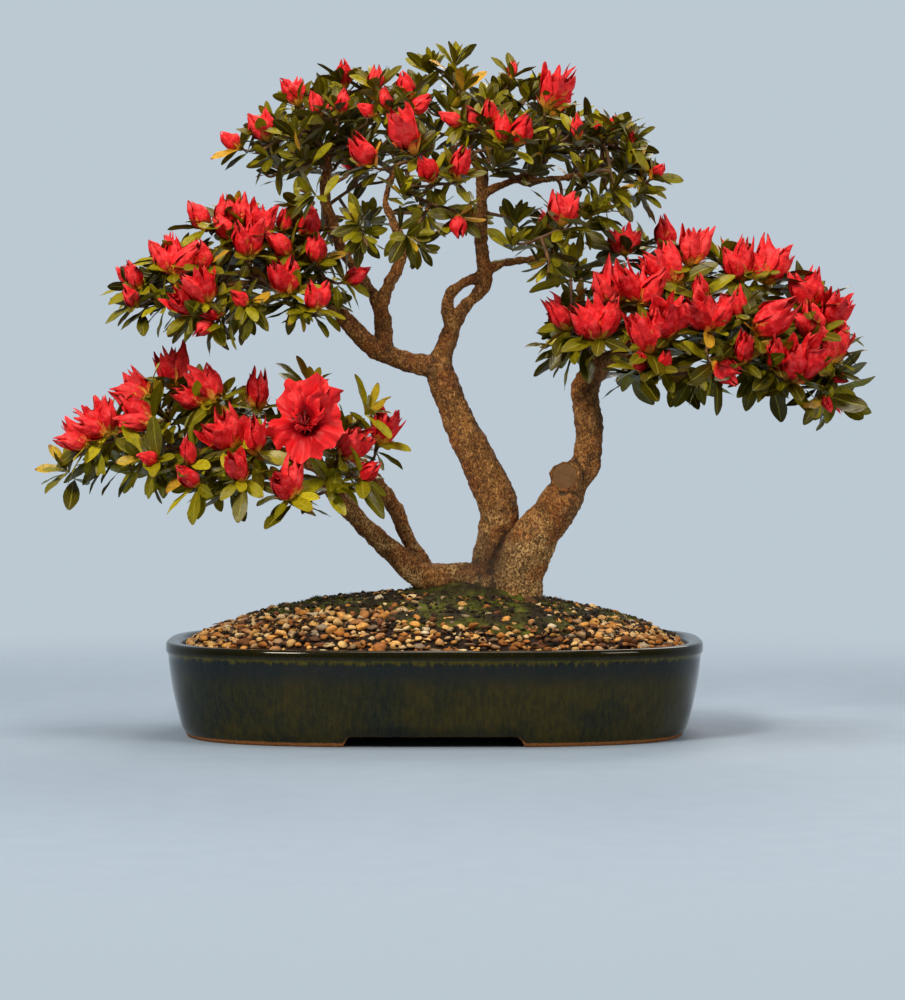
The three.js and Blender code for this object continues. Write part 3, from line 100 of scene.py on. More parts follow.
# Limbs as (x, y, z, radius) stations in the order in which they grew, in millimetres
LIMBS: dict[str, tuple[Four, ...]] = {
    "right_trunk": (
        (62, -4, 108, 24), (64, -5, 140, 23.5), (77, -8, 172, 21.5), (92, -10, 192, 18.5), (105, -12, 211, 17.5),
        (116, -11, 228, 15), (126, -9, 240, 13), (129, -6, 266, 12), (129, -5, 280, 13), (126, -4, 295, 12.3),
        (126, -3, 309, 12.4), (134, -3, 323, 10.5), (145, -4, 334, 8.5),
    ),
    "middle_trunk": (
        (36, 6, 108, 19), (40, 8, 154, 16.5), (46, 8, 181, 17), (47, 7, 201, 18), (39, 6, 224, 17), (27.5, 5, 248, 16),
        (16, 4, 271, 14.5), (6, 4, 296, 13), (-2, 4, 316, 13.5), (-5, 4, 332, 11.5), (0, 4, 347, 8.7), (8, 4, 372, 7),
    ),
    "left_trunk": (
        (44, -2, 128, 14), (22, -3, 140, 11.5), (-9, -5, 139, 12), (-23, -6, 142, 12.6), (-48, -10, 162, 10.2),
        (-64, -12, 177, 8.6), (-94, -16, 208, 7.8), (-107, -18, 224, 6.6), (-115, -20, 238, 5.8),
        (-146, -23, 247, 4.6), (-194, -24, 249, 3.8), (-222, -24, 252, 3.3), (-252, -24, 256, 2.8),
    ),
    "left_fork": (
        (-20, -4, 147, 8), (-30, 0, 166, 6.8), (-39, 2, 184, 6.8), (-46, 3, 201, 6.6), (-56, 2, 216, 5.6),
        (-63, 0, 229, 4.6), (-69, -4, 240, 3.8),
    ),
    "graft_left": (
        (5, 4, 364, 7), (1, 4, 381, 5.8), (4, 4, 394, 5.3), (15, 4, 403, 5), (27, 4, 408, 5), (35, 4, 412, 5.6),
    ),
    "graft_right": (
        (6, 4, 366, 7), (19, 4, 384, 5.6), (28, 4, 393, 5.6), (35, 4, 402, 6.6), (35, 4, 414, 7), (32, 4, 442, 5.8),
        (33, 4, 474, 5), (29, 4, 505, 4), (22, 4, 522, 3.4),
    ),
    "left_arm": (
        (-4, 4, 326, 11), (-43, 0, 335, 9), (-70, -5, 348, 8.6), (-83, -9, 362, 7.8), (-94, -14, 375, 7),
        (-104, -18, 387, 6.2), (-134, -25, 399, 4.7), (-156, -28, 401, 4.2), (-205, -31, 401, 3.2),
        (-226, -32, 400, 2.7),
    ),
    "left_arm_fork": (
        (-56, -2, 340, 8.5), (-56, 2, 356, 8), (-57, 6, 372, 7.8), (-68, 10, 397, 5), (-87, 13, 423, 4.8),
        (-96, 12, 439, 5.2), (-108, 8, 474, 5.2), (-109, 6, 492, 4.6), (-106, 4, 510, 4), (-110, 2, 524, 3.4),
    ),
    "crown_left_fork": (
        (-58, 7, 384, 6.4), (-52, 8, 400, 5.6), (-39, 7, 428, 4.6), (-41, 4, 444, 4.2), (-54, -4, 474, 3.4),
        (-50, -8, 492, 3), (-44, -10, 506, 2.8),
    ),
    "crown_right_arm": (
        (34, 4, 414, 5), (46, 7, 420, 4.4), (57, 10, 422, 4), (70, 14, 424, 3.8), (84, 18, 428, 3.4), (97, 22, 433, 3),
        (106, 24, 443, 2.7),
    ),
    "crown_upper_arm": ((33, 4, 482, 4), (46, 2, 490, 3.8), (78, -2, 502, 3.2), (88, -4, 510, 2.8)),
    "crown_far_arm": ((62, 0, 496, 3), (82, 4, 496, 2.9), (104, 6, 498, 2.8), (126, 6, 501, 2.6), (140, 4, 505, 2.5)),
    "crown_back_arm": ((31, 4, 470, 3.6), (34, 22, 484, 3.2), (36, 40, 500, 2.8), (36, 52, 516, 2.6)),
    "crown_low_left": ((-90, 13, 428, 3.6), (-98, 26, 438, 3), (-106, 38, 452, 2.7), (-112, 46, 468, 2.5)),
    "right_pad_main": (
        (140, -4, 330, 8.5), (156, -6, 340, 7), (176, -8, 344, 6), (198, -9, 345, 5.2), (222, -10, 344, 4.6),
        (248, -11, 341, 4), (272, -12, 339, 3.5), (294, -13, 338, 3),
    ),
    "right_pad_left": ((137, -3, 325, 5), (130, -14, 336, 3.8), (122, -26, 345, 3.2), (118, -36, 352, 2.8)),
    "right_pad_front": ((172, -8, 344, 4.5), (182, -24, 350, 3.6), (192, -40, 352, 3), (198, -52, 352, 2.7)),
    "right_pad_back": ((176, -8, 344, 4.5), (186, 12, 354, 3.6), (198, 30, 364, 3.1), (208, 44, 372, 2.7)),
    "right_pad_top": ((222, -10, 344, 4), (236, -16, 356, 3.3), (248, -18, 368, 2.8)),
    "low_pad_front": ((-168, -24, 248, 3.6), (-180, -38, 252, 3), (-190, -52, 256, 2.7)),
    "low_pad_back": ((-140, -23, 246, 3.8), (-152, -4, 256, 3.2), (-164, 14, 266, 2.8)),
    "mid_pad_front": ((-156, -28, 401, 3.6), (-166, -42, 406, 3), (-174, -54, 410, 2.7)),
    "mid_pad_back": ((-134, -25, 399, 3.8), (-144, -8, 410, 3.2), (-152, 8, 420, 2.8)),
    "mid_pad_inner": ((-104, -18, 387, 4), (-106, -30, 397, 3.2), (-108, -40, 404, 2.8)),
}


@dataclass(frozen=True)
class Pad:
    """One cloud of foliage: its seed, its middle, its half sizes and the limbs that carry it.

    Then how it is filled: its inner shoots, its leaves' length, how far they stand up and how light they are. A shoot
    with buds is (x, z, lean in degrees, number of buds, length of a bud) as seen from the front, and a leafy shoot or
    a tuft is (x, z, lean).
    """

    seed: int
    centre: Three
    half: Three
    limbs: tuple[str, ...]
    inner: int
    leaf_length: float
    upright: float
    light: float
    shoots: tuple[tuple[float, float, float, int, float], ...]
    leafy: tuple[Three, ...]
    tufts: tuple[Three, ...]


PADS: dict[str, Pad] = {
    "low": Pad(
        seed=101, centre=(-200, -22, 232), half=(165, 88, 82),
        limbs=("left_trunk", "low_pad_front", "low_pad_back", "left_fork"),
        inner=20, leaf_length=1.06, upright=0.1, light=0.18,
        shoots=(
            (-322, 259, -62, 2, 32), (-304, 269, -38, 3, 32), (-268, 300, -58, 2, 32), (-264, 279, -72, 2, 36),
            (-245, 311, -8, 2, 36), (-220, 296, -75, 1, 32), (-207, 298, -28, 2, 36), (-169, 291, 5, 1, 34),
            (-192, 258, -35, 2, 38), (-184, 228, -25, 1, 34), (-172, 252, -6, 1, 34), (-230, 241, -12, 1, 30),
            (-224, 222, -50, 1, 24), (-260, 244, -80, 1, 20), (-140, 212, -8, 2, 34), (-92, 248, 42, 2, 36),
            (-59, 260, 25, 2, 32), (-75, 228, 50, 1, 24),
        ),
        leafy=((-349, 246, -35), (-284, 250, -65), (-193, 302, 12), (-106, 240, 4), (-88, 284, 12)),
        tufts=((-262, 305, -20), (-118, 322, 20), (-60, 296, 50)),
    ),
    "middle": Pad(
        seed=202, centre=(-182, -28, 384), half=(112, 78, 82),
        limbs=("left_arm", "mid_pad_front", "mid_pad_back", "mid_pad_inner"),
        inner=20, leaf_length=0.9, upright=0.25, light=0.05,
        shoots=(
            (-275, 399, -25, 1, 26), (-278, 384, -35, 1, 22), (-256, 425, -30, 1, 20), (-244, 413, 0, 3, 36),
            (-216, 417, -15, 1, 28), (-214, 388, -25, 2, 34), (-229, 378, -50, 1, 30), (-201, 376, -88, 1, 22),
            (-211, 368, -140, 1, 24), (-180, 385, -55, 1, 22), (-215, 453, -30, 1, 28), (-201, 455, 5, 1, 27),
            (-185, 455, -8, 2, 28), (-190, 444, -50, 1, 28), (-179, 428, 0, 2, 34), (-170, 444, 15, 2, 36),
            (-146, 450, 0, 1, 22), (-140, 430, -45, 1, 32), (-125, 443, 8, 1, 28), (-115, 422, -12, 1, 26),
            (-142, 396, -3, 2, 32), (-117, 381, 8, 2, 27), (-90, 405, 62, 1, 24),
        ),
        leafy=((-266, 388, -70), (-239, 437, -10), (-170, 376, 150), (-130, 372, 165)),
        tufts=((-262, 418, -40), (-130, 470, 10), (-190, 478, -5)),
    ),
    "crown": Pad(
        seed=303, centre=(4, 6, 498), half=(204, 118, 100),
        limbs=(
            "left_arm_fork", "crown_left_fork", "graft_right", "crown_upper_arm", "crown_far_arm", "crown_right_arm",
            "crown_back_arm", "crown_low_left",
        ),
        inner=62, leaf_length=0.82, upright=0.7, light=0.03,
        shoots=(
            (-185, 525, -52, 1, 22), (-160, 534, -20, 2, 28), (-132, 565, -20, 2, 28), (-113, 555, -25, 1, 22),
            (-90, 581, -10, 1, 22), (-62, 577, -8, 1, 24), (-95, 557, 12, 1, 23), (-64, 554, -60, 1, 20),
            (-53, 560, -5, 1, 20), (-33, 570, -15, 1, 24), (-66, 510, -35, 1, 32), (-30, 523, -28, 1, 42),
            (-13, 496, -20, 1, 28), (11, 498, 12, 1, 32), (14, 546, -62, 1, 26), (-30, 556, 50, 1, 20),
            (27, 544, -20, 1, 22), (40, 545, 3, 1, 27), (52, 530, -5, 1, 28), (64, 530, 30, 1, 29),
            (91, 561, 25, 2, 40), (59, 588, 5, 1, 15), (119, 534, -8, 1, 23), (138, 536, -10, 1, 15),
            (151, 539, 5, 1, 17), (166, 529, 8, 1, 14), (185, 498, 42, 1, 18), (105, 458, 8, 2, 28),
            (11, 462, 175, 1, 22),
        ),
        leafy=(
            (-16, 606, -10), (9, 612, 5), (38, 574, 0), (76, 581, 8), (-112, 583, -12), (-171, 521, -70),
            (-140, 521, -60), (175, 518, 40), (163, 488, 75), (188, 486, 80), (130, 512, 20), (-40, 492, -10),
            (-4, 478, 20), (-131, 487, -70), (-86, 466, -40), (-70, 436, 160), (-24, 440, 120), (130, 474, 20),
            (148, 474, 50), (92, 412, 190), (60, 446, 0),
        ),
        tufts=(
            (-32, 577, -10), (-22, 588, 5), (8, 594, 0), (18, 590, 12), (48, 580, 10), (78, 582, -5), (88, 584, 15),
            (137, 545, 25), (172, 520, 35), (-161, 556, -30), (-113, 578, -15), (-69, 586, -5), (-50, 570, 15),
            (30, 566, -15), (60, 560, 8), (110, 560, 5), (-90, 560, -8), (-140, 548, -20), (66, 470, 15),
            (92, 452, 60), (118, 478, 70), (136, 446, 110), (104, 434, 150), (76, 440, -150), (124, 418, 30),
            (-128, 452, -60), (-100, 440, 160), (-62, 470, 30), (-146, 474, -80), (-20, 452, 190),
        ),
    ),
    "right": Pad(
        seed=404, centre=(222, -8, 336), half=(152, 104, 102),
        limbs=("right_pad_main", "right_pad_left", "right_pad_front", "right_pad_back", "right_pad_top"),
        inner=26, leaf_length=1.14, upright=0.2, light=0.0,
        shoots=(
            (161, 431, 0, 3, 26), (200, 435, -8, 1, 28), (205, 403, -30, 2, 38), (220, 420, 10, 2, 36),
            (265, 407, -10, 2, 36), (288, 406, 0, 3, 38), (326, 381, -10, 2, 38), (344, 365, 25, 2, 34),
            (332, 357, -25, 2, 28), (347, 333, 3, 2, 34), (349, 320, 110, 1, 16), (339, 302, 150, 1, 18),
            (296, 326, -3, 1, 34), (310, 317, 27, 2, 44), (267, 333, 5, 1, 32), (279, 358, 42, 1, 44),
            (262, 374, -15, 2, 26), (236, 362, 0, 3, 38), (200, 355, 5, 2, 40), (184, 343, -8, 2, 40),
            (175, 326, -5, 1, 21), (195, 326, 8, 1, 22), (110, 364, -38, 1, 34), (150, 386, -18, 2, 38),
            (139, 355, -10, 3, 38), (175, 386, 0, 3, 34), (242, 330, 120, 2, 26), (229, 390, -5, 1, 24),
        ),
        leafy=((103, 352, -75), (228, 314, 175), (288, 314, 160), (336, 345, 40)),
        tufts=((110, 430, -10), (180, 442, 5), (250, 436, 15), (300, 410, 30)),
    ),
}

# The one fully open flower: its place from the front, its half width, the way it faces, and the least width and
# height of its solid in half widths
BLOOM_PAD = "low"
BLOOM_X = -124.0
BLOOM_Z = 270.0
BLOOM_HALF = 34.0
BLOOM_FACING = Vector((-0.12, -0.93, 0.34))
BLOOM_LEAST_WIDE = 1.7
BLOOM_LEAST_TALL = 1.5

UP = Vector((0, 0, 1))


class Slot(Enum):
    """The record's material slots."""

    GLAZED_CERAMIC = "glazed_ceramic"
    SOIL = "soil"
    GRAVEL = "gravel"
    BARK = "bark"
    LEAVES_AND_TWIGS = "leaves_and_twigs"
    PETALS = "petals"


class Draws:
    """A repeatable stream of draws from 0 to 1."""

    def __init__(self, seed: int) -> None:
        """Starts the stream at a seed."""
        self.state = seed

    def next(self) -> float:
        """The next draw, from 0 to 1."""
        self.state = (self.state * 1664525 + 1013904223) % 4294967296
        return self.state / 4294967296

    def between(self, low: float, high: float) -> float:
        """The next draw, from low to high."""
        return low + (high - low) * self.next()

    def whole(self, count: int) -> int:
        """The next draw as a whole number from 0 up to count."""
        return int(self.next() * count) % count

    def angle(self) -> float:
        """The next draw as an angle, once round in radians."""
        return self.between(0, 6.28)

    def vector(self, low: float, high: float) -> Vector:
        """The next three draws, each from low to high."""
        return Vector([self.between(low, high) for _ in range(3)])


def paint(red: float, green: float, blue: float) -> Four:
    """A colour as it is seen on a screen, from 0 to 255, as the renderer's linear colour."""
    shares = (red / 255, green / 255, blue / 255)
    return (*(c / 12.92 if c <= 0.04045 else ((c + 0.055) / 1.055) ** 2.4 for c in shares), 1.0)


def sum_of(operation: str, swapped: bool = False) -> Callable[["Value", object], "Value"]:
    """An operator on values.

    Args:
        operation: What its Math node does.
        swapped: Whether the value comes second.

    Returns:
        The operator.
    """

    def made(value: "Value", other: object) -> "Value":
        """The value that leaves the node."""
        first, second = (other, value) if swapped else (value, other)
        return value.tree.node("ShaderNodeMath", {"operation": operation}, {0: first, 1: second})

    return made


class Value:
    """A number, colour or vector that leaves a node and can be used in sums."""

    __add__, __radd__ = sum_of("ADD"), sum_of("ADD", swapped=True)
    __sub__, __rsub__ = sum_of("SUBTRACT"), sum_of("SUBTRACT", swapped=True)
    __mul__, __rmul__ = sum_of("MULTIPLY"), sum_of("MULTIPLY", swapped=True)
    __truediv__ = sum_of("DIVIDE")

    def __init__(self, tree: "Tree", socket: bpy.types.NodeSocket) -> None:
        """Holds the socket and the tree that it is in."""
        self.tree = tree
        self.socket = socket

    def wave(self) -> "Value":
        """Its sine."""
        return self.tree.node("ShaderNodeMath", {"operation": "SINE"}, {0: self})

    def above(self, limit: float, softness: float) -> "Value":
        """One where the value is over a limit and nought where it is under, with a soft edge."""
        ends = {"From Min": limit - softness, "From Max": limit + softness}
        return self.tree.node("ShaderNodeMapRange", {"interpolation_type": "SMOOTHSTEP"}, {"Value": self, **ends})


class Tree:
    """A node tree that is written as expressions."""

    def __init__(self, tree: bpy.types.NodeTree) -> None:
        """Holds the tree."""
        self.tree = tree

    def node(
        self, kind: str, settings: dict | None = None, inputs: dict | None = None, output: int | str = 0
    ) -> Value:
        """Adds a node.

        Args:
            kind: The node's type.
            settings: Its own settings.
            inputs: Values or links for its sockets, by name or number.
            output: The socket to hand back.

        Returns:
            The value that leaves the node.
        """
        made = self.tree.nodes.new(kind)
        for name, setting in (settings or {}).items():
            setattr(made, name, setting)
        for key, given in (inputs or {}).items():
            self.feed(made.inputs[key], given)
        return Value(self, made.outputs[output])

    def vector(self, operation: str, first: object, second: object, output: int | str = 0) -> Value:
        """One Vector Math node on two inputs."""
        return self.node("ShaderNodeVectorMath", {"operation": operation}, {0: first, 1: second}, output)

    def scaled(self, vector: Value, by: Value | float) -> Value:
        """A vector times a number."""
        return self.node("ShaderNodeVectorMath", {"operation": "SCALE"}, {0: vector, "Scale": by})

    def feed(self, socket: bpy.types.NodeSocket, given: object) -> None:
        """Links a value to a socket, or sets the socket.

        Args:
            socket: The socket.
            given: A value, or a plain number, colour or vector.
        """
        if isinstance(given, Value):
            self.tree.links.new(given.socket, socket)
        else:
            socket.default_value = given


class Paint(Tree):
    """A material on the standard surface shader, with the patterns that the finishes share.

    Each finish is a class on it that lays its layers when it is made. Its colours go from 0 to 255, its scales are
    per metre and its heights are in metres.
    """

    def __init__(self, name: str, roughness: float, **plain: object) -> None:
        """Makes the material.

        Args:
            name: Its name.
            roughness: The shader's roughness.
            plain: Other sockets of the shader that are the same all over, with _ for a space.
        """
        self.material = bpy.data.materials.new(name)
        self.material.use_nodes = True
        super().__init__(self.material.node_tree)
        self.tree.nodes.clear()
        self.surface = self.tree.nodes.new("ShaderNodeBsdfPrincipled")
        self.output = self.tree.nodes.new("ShaderNodeOutputMaterial")
        self.tree.links.new(self.surface.outputs[0], self.output.inputs[0])
        self.surface.inputs["Roughness"].default_value = roughness
        for key, value in plain.items():
            self.surface.inputs[key.replace("_", " ")].default_value = value

    def place(self, scale: Sequence[float] | None = None) -> Value:
        """The point on the piece, in metres, stretched by a scale if one is given."""
        point = self.node("ShaderNodeTexCoord", output="Object")
        return self.node("ShaderNodeMapping", None, {"Vector": point, "Scale": scale}) if scale else point

    def apart(self, vector: Value, axis: str) -> Value:
        """One number of a vector: X, Y or Z."""
        return self.node("ShaderNodeSeparateXYZ", None, {0: vector}, axis)

    def noise(self, scale: float, detail: float = 3.0, rough: float = 0.5, at: Value | None = None) -> Value:
        """Smooth noise of a scale per metre."""
        sockets = {"Vector": at or self.place(), "Scale": scale, "Detail": detail, "Roughness": rough}
        return self.node("ShaderNodeTexNoise", None, sockets)

    def cells(self, scale: float, at: Value | None = None) -> Value:
        """The distance to the middle of the nearest cell, of a scale per metre."""
        return self.node("ShaderNodeTexVoronoi", None, {"Vector": at or self.place(), "Scale": scale}, "Distance")

    def given(self, name: str) -> Value:
        """A number that the mesh carries."""
        return self.node("ShaderNodeAttribute", {"attribute_name": name}, None, "Fac")

    def uv(self, axis: str) -> Value:
        """The place across (X) or along (Y) a blade, from 0 to 1."""
        return self.apart(self.node("ShaderNodeTexCoord", output="UV"), axis)

    def ramp(self, by: Value, *stops: Four) -> Value:
        """A colour that changes with a number.

        Args:
            by: The number.
            stops: The colours as (number, red, green, blue).

        Returns:
            The colour.
        """
        made = self.node("ShaderNodeValToRGB", None, {0: by})
        shades = made.socket.node.color_ramp.elements
        shades.remove(shades[-1])
        shades[0].position, shades[0].color = stops[0][0], paint(*stops[0][1:])
        for place, *colour in stops[1:]:
            shades.new(place).color = paint(*colour)
        return made

    def blend(self, share: Value | float, first: Value, second: Value | Three) -> Value:
        """Two colours mixed by a share of the second."""
        over = second if isinstance(second, Value) else paint(*second)
        return self.node("ShaderNodeMix", {"data_type": "RGBA"}, {0: share, 6: first, 7: over}, 2)

    def relief(self, height: Value, strength: float, distance: float) -> None:
        """Raises the surface by a height, with a distance in metres."""
        sockets = {"Height": height, "Strength": strength, "Distance": distance}
        self.set("Normal", self.node("ShaderNodeBump", None, sockets))

    def set(self, name: str, value: Value) -> None:
        """Feeds one of the shader's sockets."""
        self.feed(self.surface.inputs[name], value)


def carry(mesh: bpy.types.Mesh, name: str, kind: str, numbers: Sequence[float]) -> None:
    """Gives each point of a mesh its number, or its vector as three numbers in a row."""
    key = "vector" if kind == "FLOAT_VECTOR" else "value"
    mesh.attributes.new(name, kind, "POINT").data.foreach_set(key, numbers)


def placed_object(name: str, held: bpy.types.ID) -> bpy.types.Object:
    """Puts a mesh, lamp or camera into the scene.

    Args:
        name: The object's name.
        held: Its data.

    Returns:
        The object.
    """
    made = bpy.data.objects.new(name, held)
    bpy.context.scene.collection.objects.link(made)
    return made


@dataclass
class Form:
    """A mesh in the making: points, faces, a place across and along for each point, and named numbers."""

    points: list[Vector] = field(default_factory=list)
    faces: list[tuple[int, ...]] = field(default_factory=list)
    places: list[tuple[float, float]] = field(default_factory=list)
    numbers: dict[str, list[float]] = field(default_factory=dict)

    def sheet(
        self, rows: int, columns: int, at: Surface, closed: bool = False, capped: bool = False, flip: bool = False,
        **numbers: float,
    ) -> None:
        """Adds a grid of faces, which look along (across x along).

        Args:
            rows: Steps along.
            columns: Steps across.
            at: The point at (across, along), each from 0 to 1.
            closed: Whether the last column joins the first one.
            capped: Whether the first and the last ring are closed with a face each.
            flip: Whether the faces look the other way.
            numbers: Named numbers that all of its points carry.
        """
        first = len(self.points)
        wide = columns if closed else columns + 1
        for r in range(rows + 1):
            for c in range(wide):
                self.points.append(at(c / columns, r / rows))
                self.places.append((c / columns, r / rows))
                for name in set(self.numbers) | set(numbers):
                    held = self.numbers.setdefault(name, [0.0] * (len(self.points) - 1))
                    held.append(numbers.get(name, 0.0))
        for r in range(rows):
            for c in range(columns):
                a, b = first + r * wide + c, first + r * wide + (c + 1) % wide
                face = (a, b, b + wide, a + wide)
                self.faces.append(face[::-1] if flip else face)
        if capped:
            last = len(self.points)
            self.faces += [tuple(reversed(range(first, first + wide))), tuple(range(last - wide, last))]

    def made(self, name: str, finish: bpy.types.Material | None = None, smooth: bool = False) -> bpy.types.Object:
        """Turns the form into an object.

        Args:
            name: The object's name.
            finish: Its material.
            smooth: Whether its shading is smooth.

        Returns:
            The object.
        """
        mesh = bpy.data.meshes.new(name)
        mesh.from_pydata([tuple(p) for p in self.points], [], self.faces, shade_flat=False)
        if self.places:
            layer = mesh.uv_layers.new(name="UVMap")
            for loop in mesh.loops:
                layer.data[loop.index].uv = self.places[loop.vertex_index]
        for key, held in self.numbers.items():
            carry(mesh, key, "FLOAT", held)
        mesh.validate()
        if finish:
            mesh.materials.append(finish)
        if smooth:
            mesh.shade_smooth()
        return placed_object(name, mesh)


def settle(piece: bpy.types.Object) -> bpy.types.Object:
    """Turns a piece's live modifiers into its plain mesh.

    Args:
        piece: The object with modifiers.

    Returns:
        The same object with a plain mesh and no modifiers.
    """
    bpy.context.view_layer.update()
    graph = bpy.context.evaluated_depsgraph_get()
    shown = piece.evaluated_get(graph)
    mesh = bpy.data.meshes.new_from_object(shown, preserve_all_data_layers=True, depsgraph=graph)
    piece.modifiers.clear()
    piece.data = mesh
    mesh.name = piece.name
    return piece


def hand_in(piece: bpy.types.Object, slot: Slot, nodes: Sequence[str] = ()) -> None:
    """Makes a finished mesh one of the plant's pieces.

    Args:
        piece: The object.
        slot: The record's material slot; not used.
        nodes: The solids that it stands for.
    """
    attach(piece, BODY)
    if nodes:
        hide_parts(*nodes)
    LOG.info("%s: %d faces, stands for %d solids", piece.name, len(piece.data.polygons), len(nodes))


@dataclass(frozen=True)
class Placed:
    """One copy of a shape: its place in metres, its turn, its size, which shape it is, and its tint."""

    at: Vector
    turn: Matrix
    size: Vector
    kind: int
    tint: float


def facing(along: Vector, up: Vector) -> Matrix:
    """The turn that points a shape's X along and its Z as far up as that lets it.

    Args:
        along: Where X goes.
        up: Where Z should go.

    Returns:
        The turn.
    """
    forward = along.normalized()
    side = up.cross(forward)
    if side.length < 1e-4:
        side = Vector((0, 1, 0)).cross(forward)
    side.normalize()
    return Matrix((forward, side, forward.cross(side))).transposed()


class Shaper(Tree):
    """A geometry node tree with named inputs."""

    def __init__(self, name: str, **kinds: str) -> None:
        """Makes the tree with a geometry output and a geometry input before the named ones.

        Args:
            name: Its name.
            kinds: The kind of each further input.
        """
        super().__init__(bpy.data.node_groups.new(name, "GeometryNodeTree"))
        sockets = self.tree.interface
        sockets.new_socket("Geometry", in_out="OUTPUT", socket_type="NodeSocketGeometry")
        sockets.new_socket("Geometry", in_out="INPUT", socket_type="NodeSocketGeometry")
        self.inputs = {
            key: sockets.new_socket(key, in_out="INPUT", socket_type=f"NodeSocket{kind}").identifier
            for key, kind in kinds.items()
        }
        outputs = self.tree.nodes.new("NodeGroupInput").outputs
        self.given = [Value(self, socket) for socket in outputs[: len(kinds) + 1]]

    def carried(self, name: str, kind: str) -> Value:
        """A number or vector that each point carries."""
        return self.node("GeometryNodeInputNamedAttribute", {"data_type": kind}, {"Name": name})

    def end(self, geometry: Value, finish: Value | None = None) -> None:
        """Hands the geometry out.

        Args:
            geometry: The geometry.
            finish: The material, where it is to be made real and dressed.
        """
        if finish:
            real = self.node("GeometryNodeRealizeInstances", None, {0: geometry})
            geometry = self.node("GeometryNodeSetMaterial", None, {"Geometry": real, "Material": finish})
        self.feed(self.tree.nodes.new("NodeGroupOutput").inputs[0], geometry)

    def put_on(self, piece: bpy.types.Object, **values: object) -> None:
        """Gives a piece the tree as a modifier.

        Args:
            piece: The piece.
            values: The values of its inputs.
        """
        nodes = piece.modifiers.new(self.tree.name, "NODES")
        nodes.node_group = self.tree
        for key, value in values.items():
            nodes[self.inputs[key]] = value


class Scatter(Shaper):
    """Geometry nodes that put shapes on points, each with its own turn, size and tint."""

    def __init__(self) -> None:
        """Builds the node tree with its named inputs."""
        super().__init__("scatter", Shapes="Collection", Finish="Material", Size="Float")
        points, shapes, finish, size = self.given
        sockets = {0: shapes, "Separate Children": True, "Reset Children": True}
        held = self.node("GeometryNodeCollectionInfo", None, sockets)
        turn = self.node("FunctionNodeEulerToRotation", None, {0: self.carried("turn", "FLOAT_VECTOR")})
        scale = self.scaled(self.carried("size", "FLOAT_VECTOR"), size)
        sockets = {"Points": points, "Instance": held, "Pick Instance": True, "Rotation": turn, "Scale": scale}
        sockets["Instance Index"] = self.carried("kind", "INT")
        self.end(self.node("GeometryNodeInstanceOnPoints", None, sockets), finish)

    def spread(
        self, name: str, copies: Sequence[Placed], shapes: Sequence[Form], finish: bpy.types.Material
    ) -> bpy.types.Object:
        """Puts copies of shapes in place as one plain mesh.

        Args:
            name: The name of the piece.
            copies: Where each copy is.
            shapes: The shapes, which a copy's kind counts from nought.
            finish: The material of all of them.

        Returns:
            The piece.
        """
        shelf = bpy.data.collections.new(f"{name}_shapes")
        parts = [shape.made(f"{name}_shape_{i:02d}") for i, shape in enumerate(shapes)]
        for part in parts:
            bpy.context.scene.collection.objects.unlink(part)
            shelf.objects.link(part)
        mesh = bpy.data.meshes.new(name)
        mesh.from_pydata([tuple(copy.at) for copy in copies], [], [])
        carry(mesh, "turn", "FLOAT_VECTOR", [angle for copy in copies for angle in copy.turn.to_euler()])
        carry(mesh, "size", "FLOAT_VECTOR", [side for copy in copies for side in copy.size])
        carry(mesh, "kind", "INT", [copy.kind for copy in copies])
        carry(mesh, "tint", "FLOAT", [copy.tint for copy in copies])
        piece = placed_object(name, mesh)
        self.put_on(piece, Shapes=shelf, Finish=finish, Size=1.0)
        settle(piece)
        for key in ("turn", "size", "kind"):
            held = piece.data.attributes.get(key)
            if held:
                piece.data.attributes.remove(held)
        for part in parts:
            bpy.data.objects.remove(part)
        bpy.data.collections.remove(shelf)
        return piece


class Stems(Shaper):
    """Geometry nodes that turn chains of edges into round stems of the radius that each point carries."""

    def __init__(self, sides: int) -> None:
        """Builds the node tree with its named inputs.

        Args:
            sides: How many sides a stem has.
        """
        super().__init__("stems", Finish="Material", Thickness="Float")
        chains, finish, thickness = self.given
        curve = self.node("GeometryNodeMeshToCurve", None, {0: chains})
        ring = self.node("GeometryNodeCurvePrimitiveCircle", None, {"Resolution": sides, "Radius": 1.0})
        sockets = {"Curve": curve, "Profile Curve": ring, "Fill Caps": True}
        sockets["Scale"] = self.carried("radius_m", "FLOAT") * thickness
        self.end(self.node("GeometryNodeCurveToMesh", None, sockets), finish)

    def drawn(
        self, name: str, chains: Sequence[Sequence[tuple[Vector, float]]], finish: bpy.types.Material
    ) -> bpy.types.Object:
        """Draws stems along chains of points.

        Args:
            name: The name of the piece.
            chains: Each stem as (point, radius) pairs in metres.
            finish: Its material.

        Returns:
            The piece.
        """
        points: list[Three] = []
        edges: list[tuple[int, int]] = []
        radii: list[float] = []
        for chain in chains:
            for i, (point, radius) in enumerate(chain):
                if i:
                    edges.append((len(points) - 1, len(points)))
                points.append(tuple(point))
                radii.append(radius)
        mesh = bpy.data.meshes.new(name)
        mesh.from_pydata(points, edges, [])
        carry(mesh, "radius_m", "FLOAT", radii)
        piece = placed_object(name, mesh)
        self.put_on(piece, Finish=finish, Thickness=1.0)
        return settle(piece)


def about_z(radius: float, angle: float, z: float = 0.0) -> Vector:
    """The point at a radius and an angle round Z, at a height."""
    return Vector((radius * cos(angle), radius * sin(angle), z))


def about_x(x: float, radius: float, angle: float) -> Vector:
    """The point at a radius and an angle round X, at a place along it."""
    return Vector((x, radius * cos(angle), radius * sin(angle)))


def lump(x: float, y: float, layer: float, scale: float) -> float:
    """Smooth noise over the ground, of a scale per millimetre, in one of many layers."""
    return noise.noise(Vector((x, y, layer)) * scale)


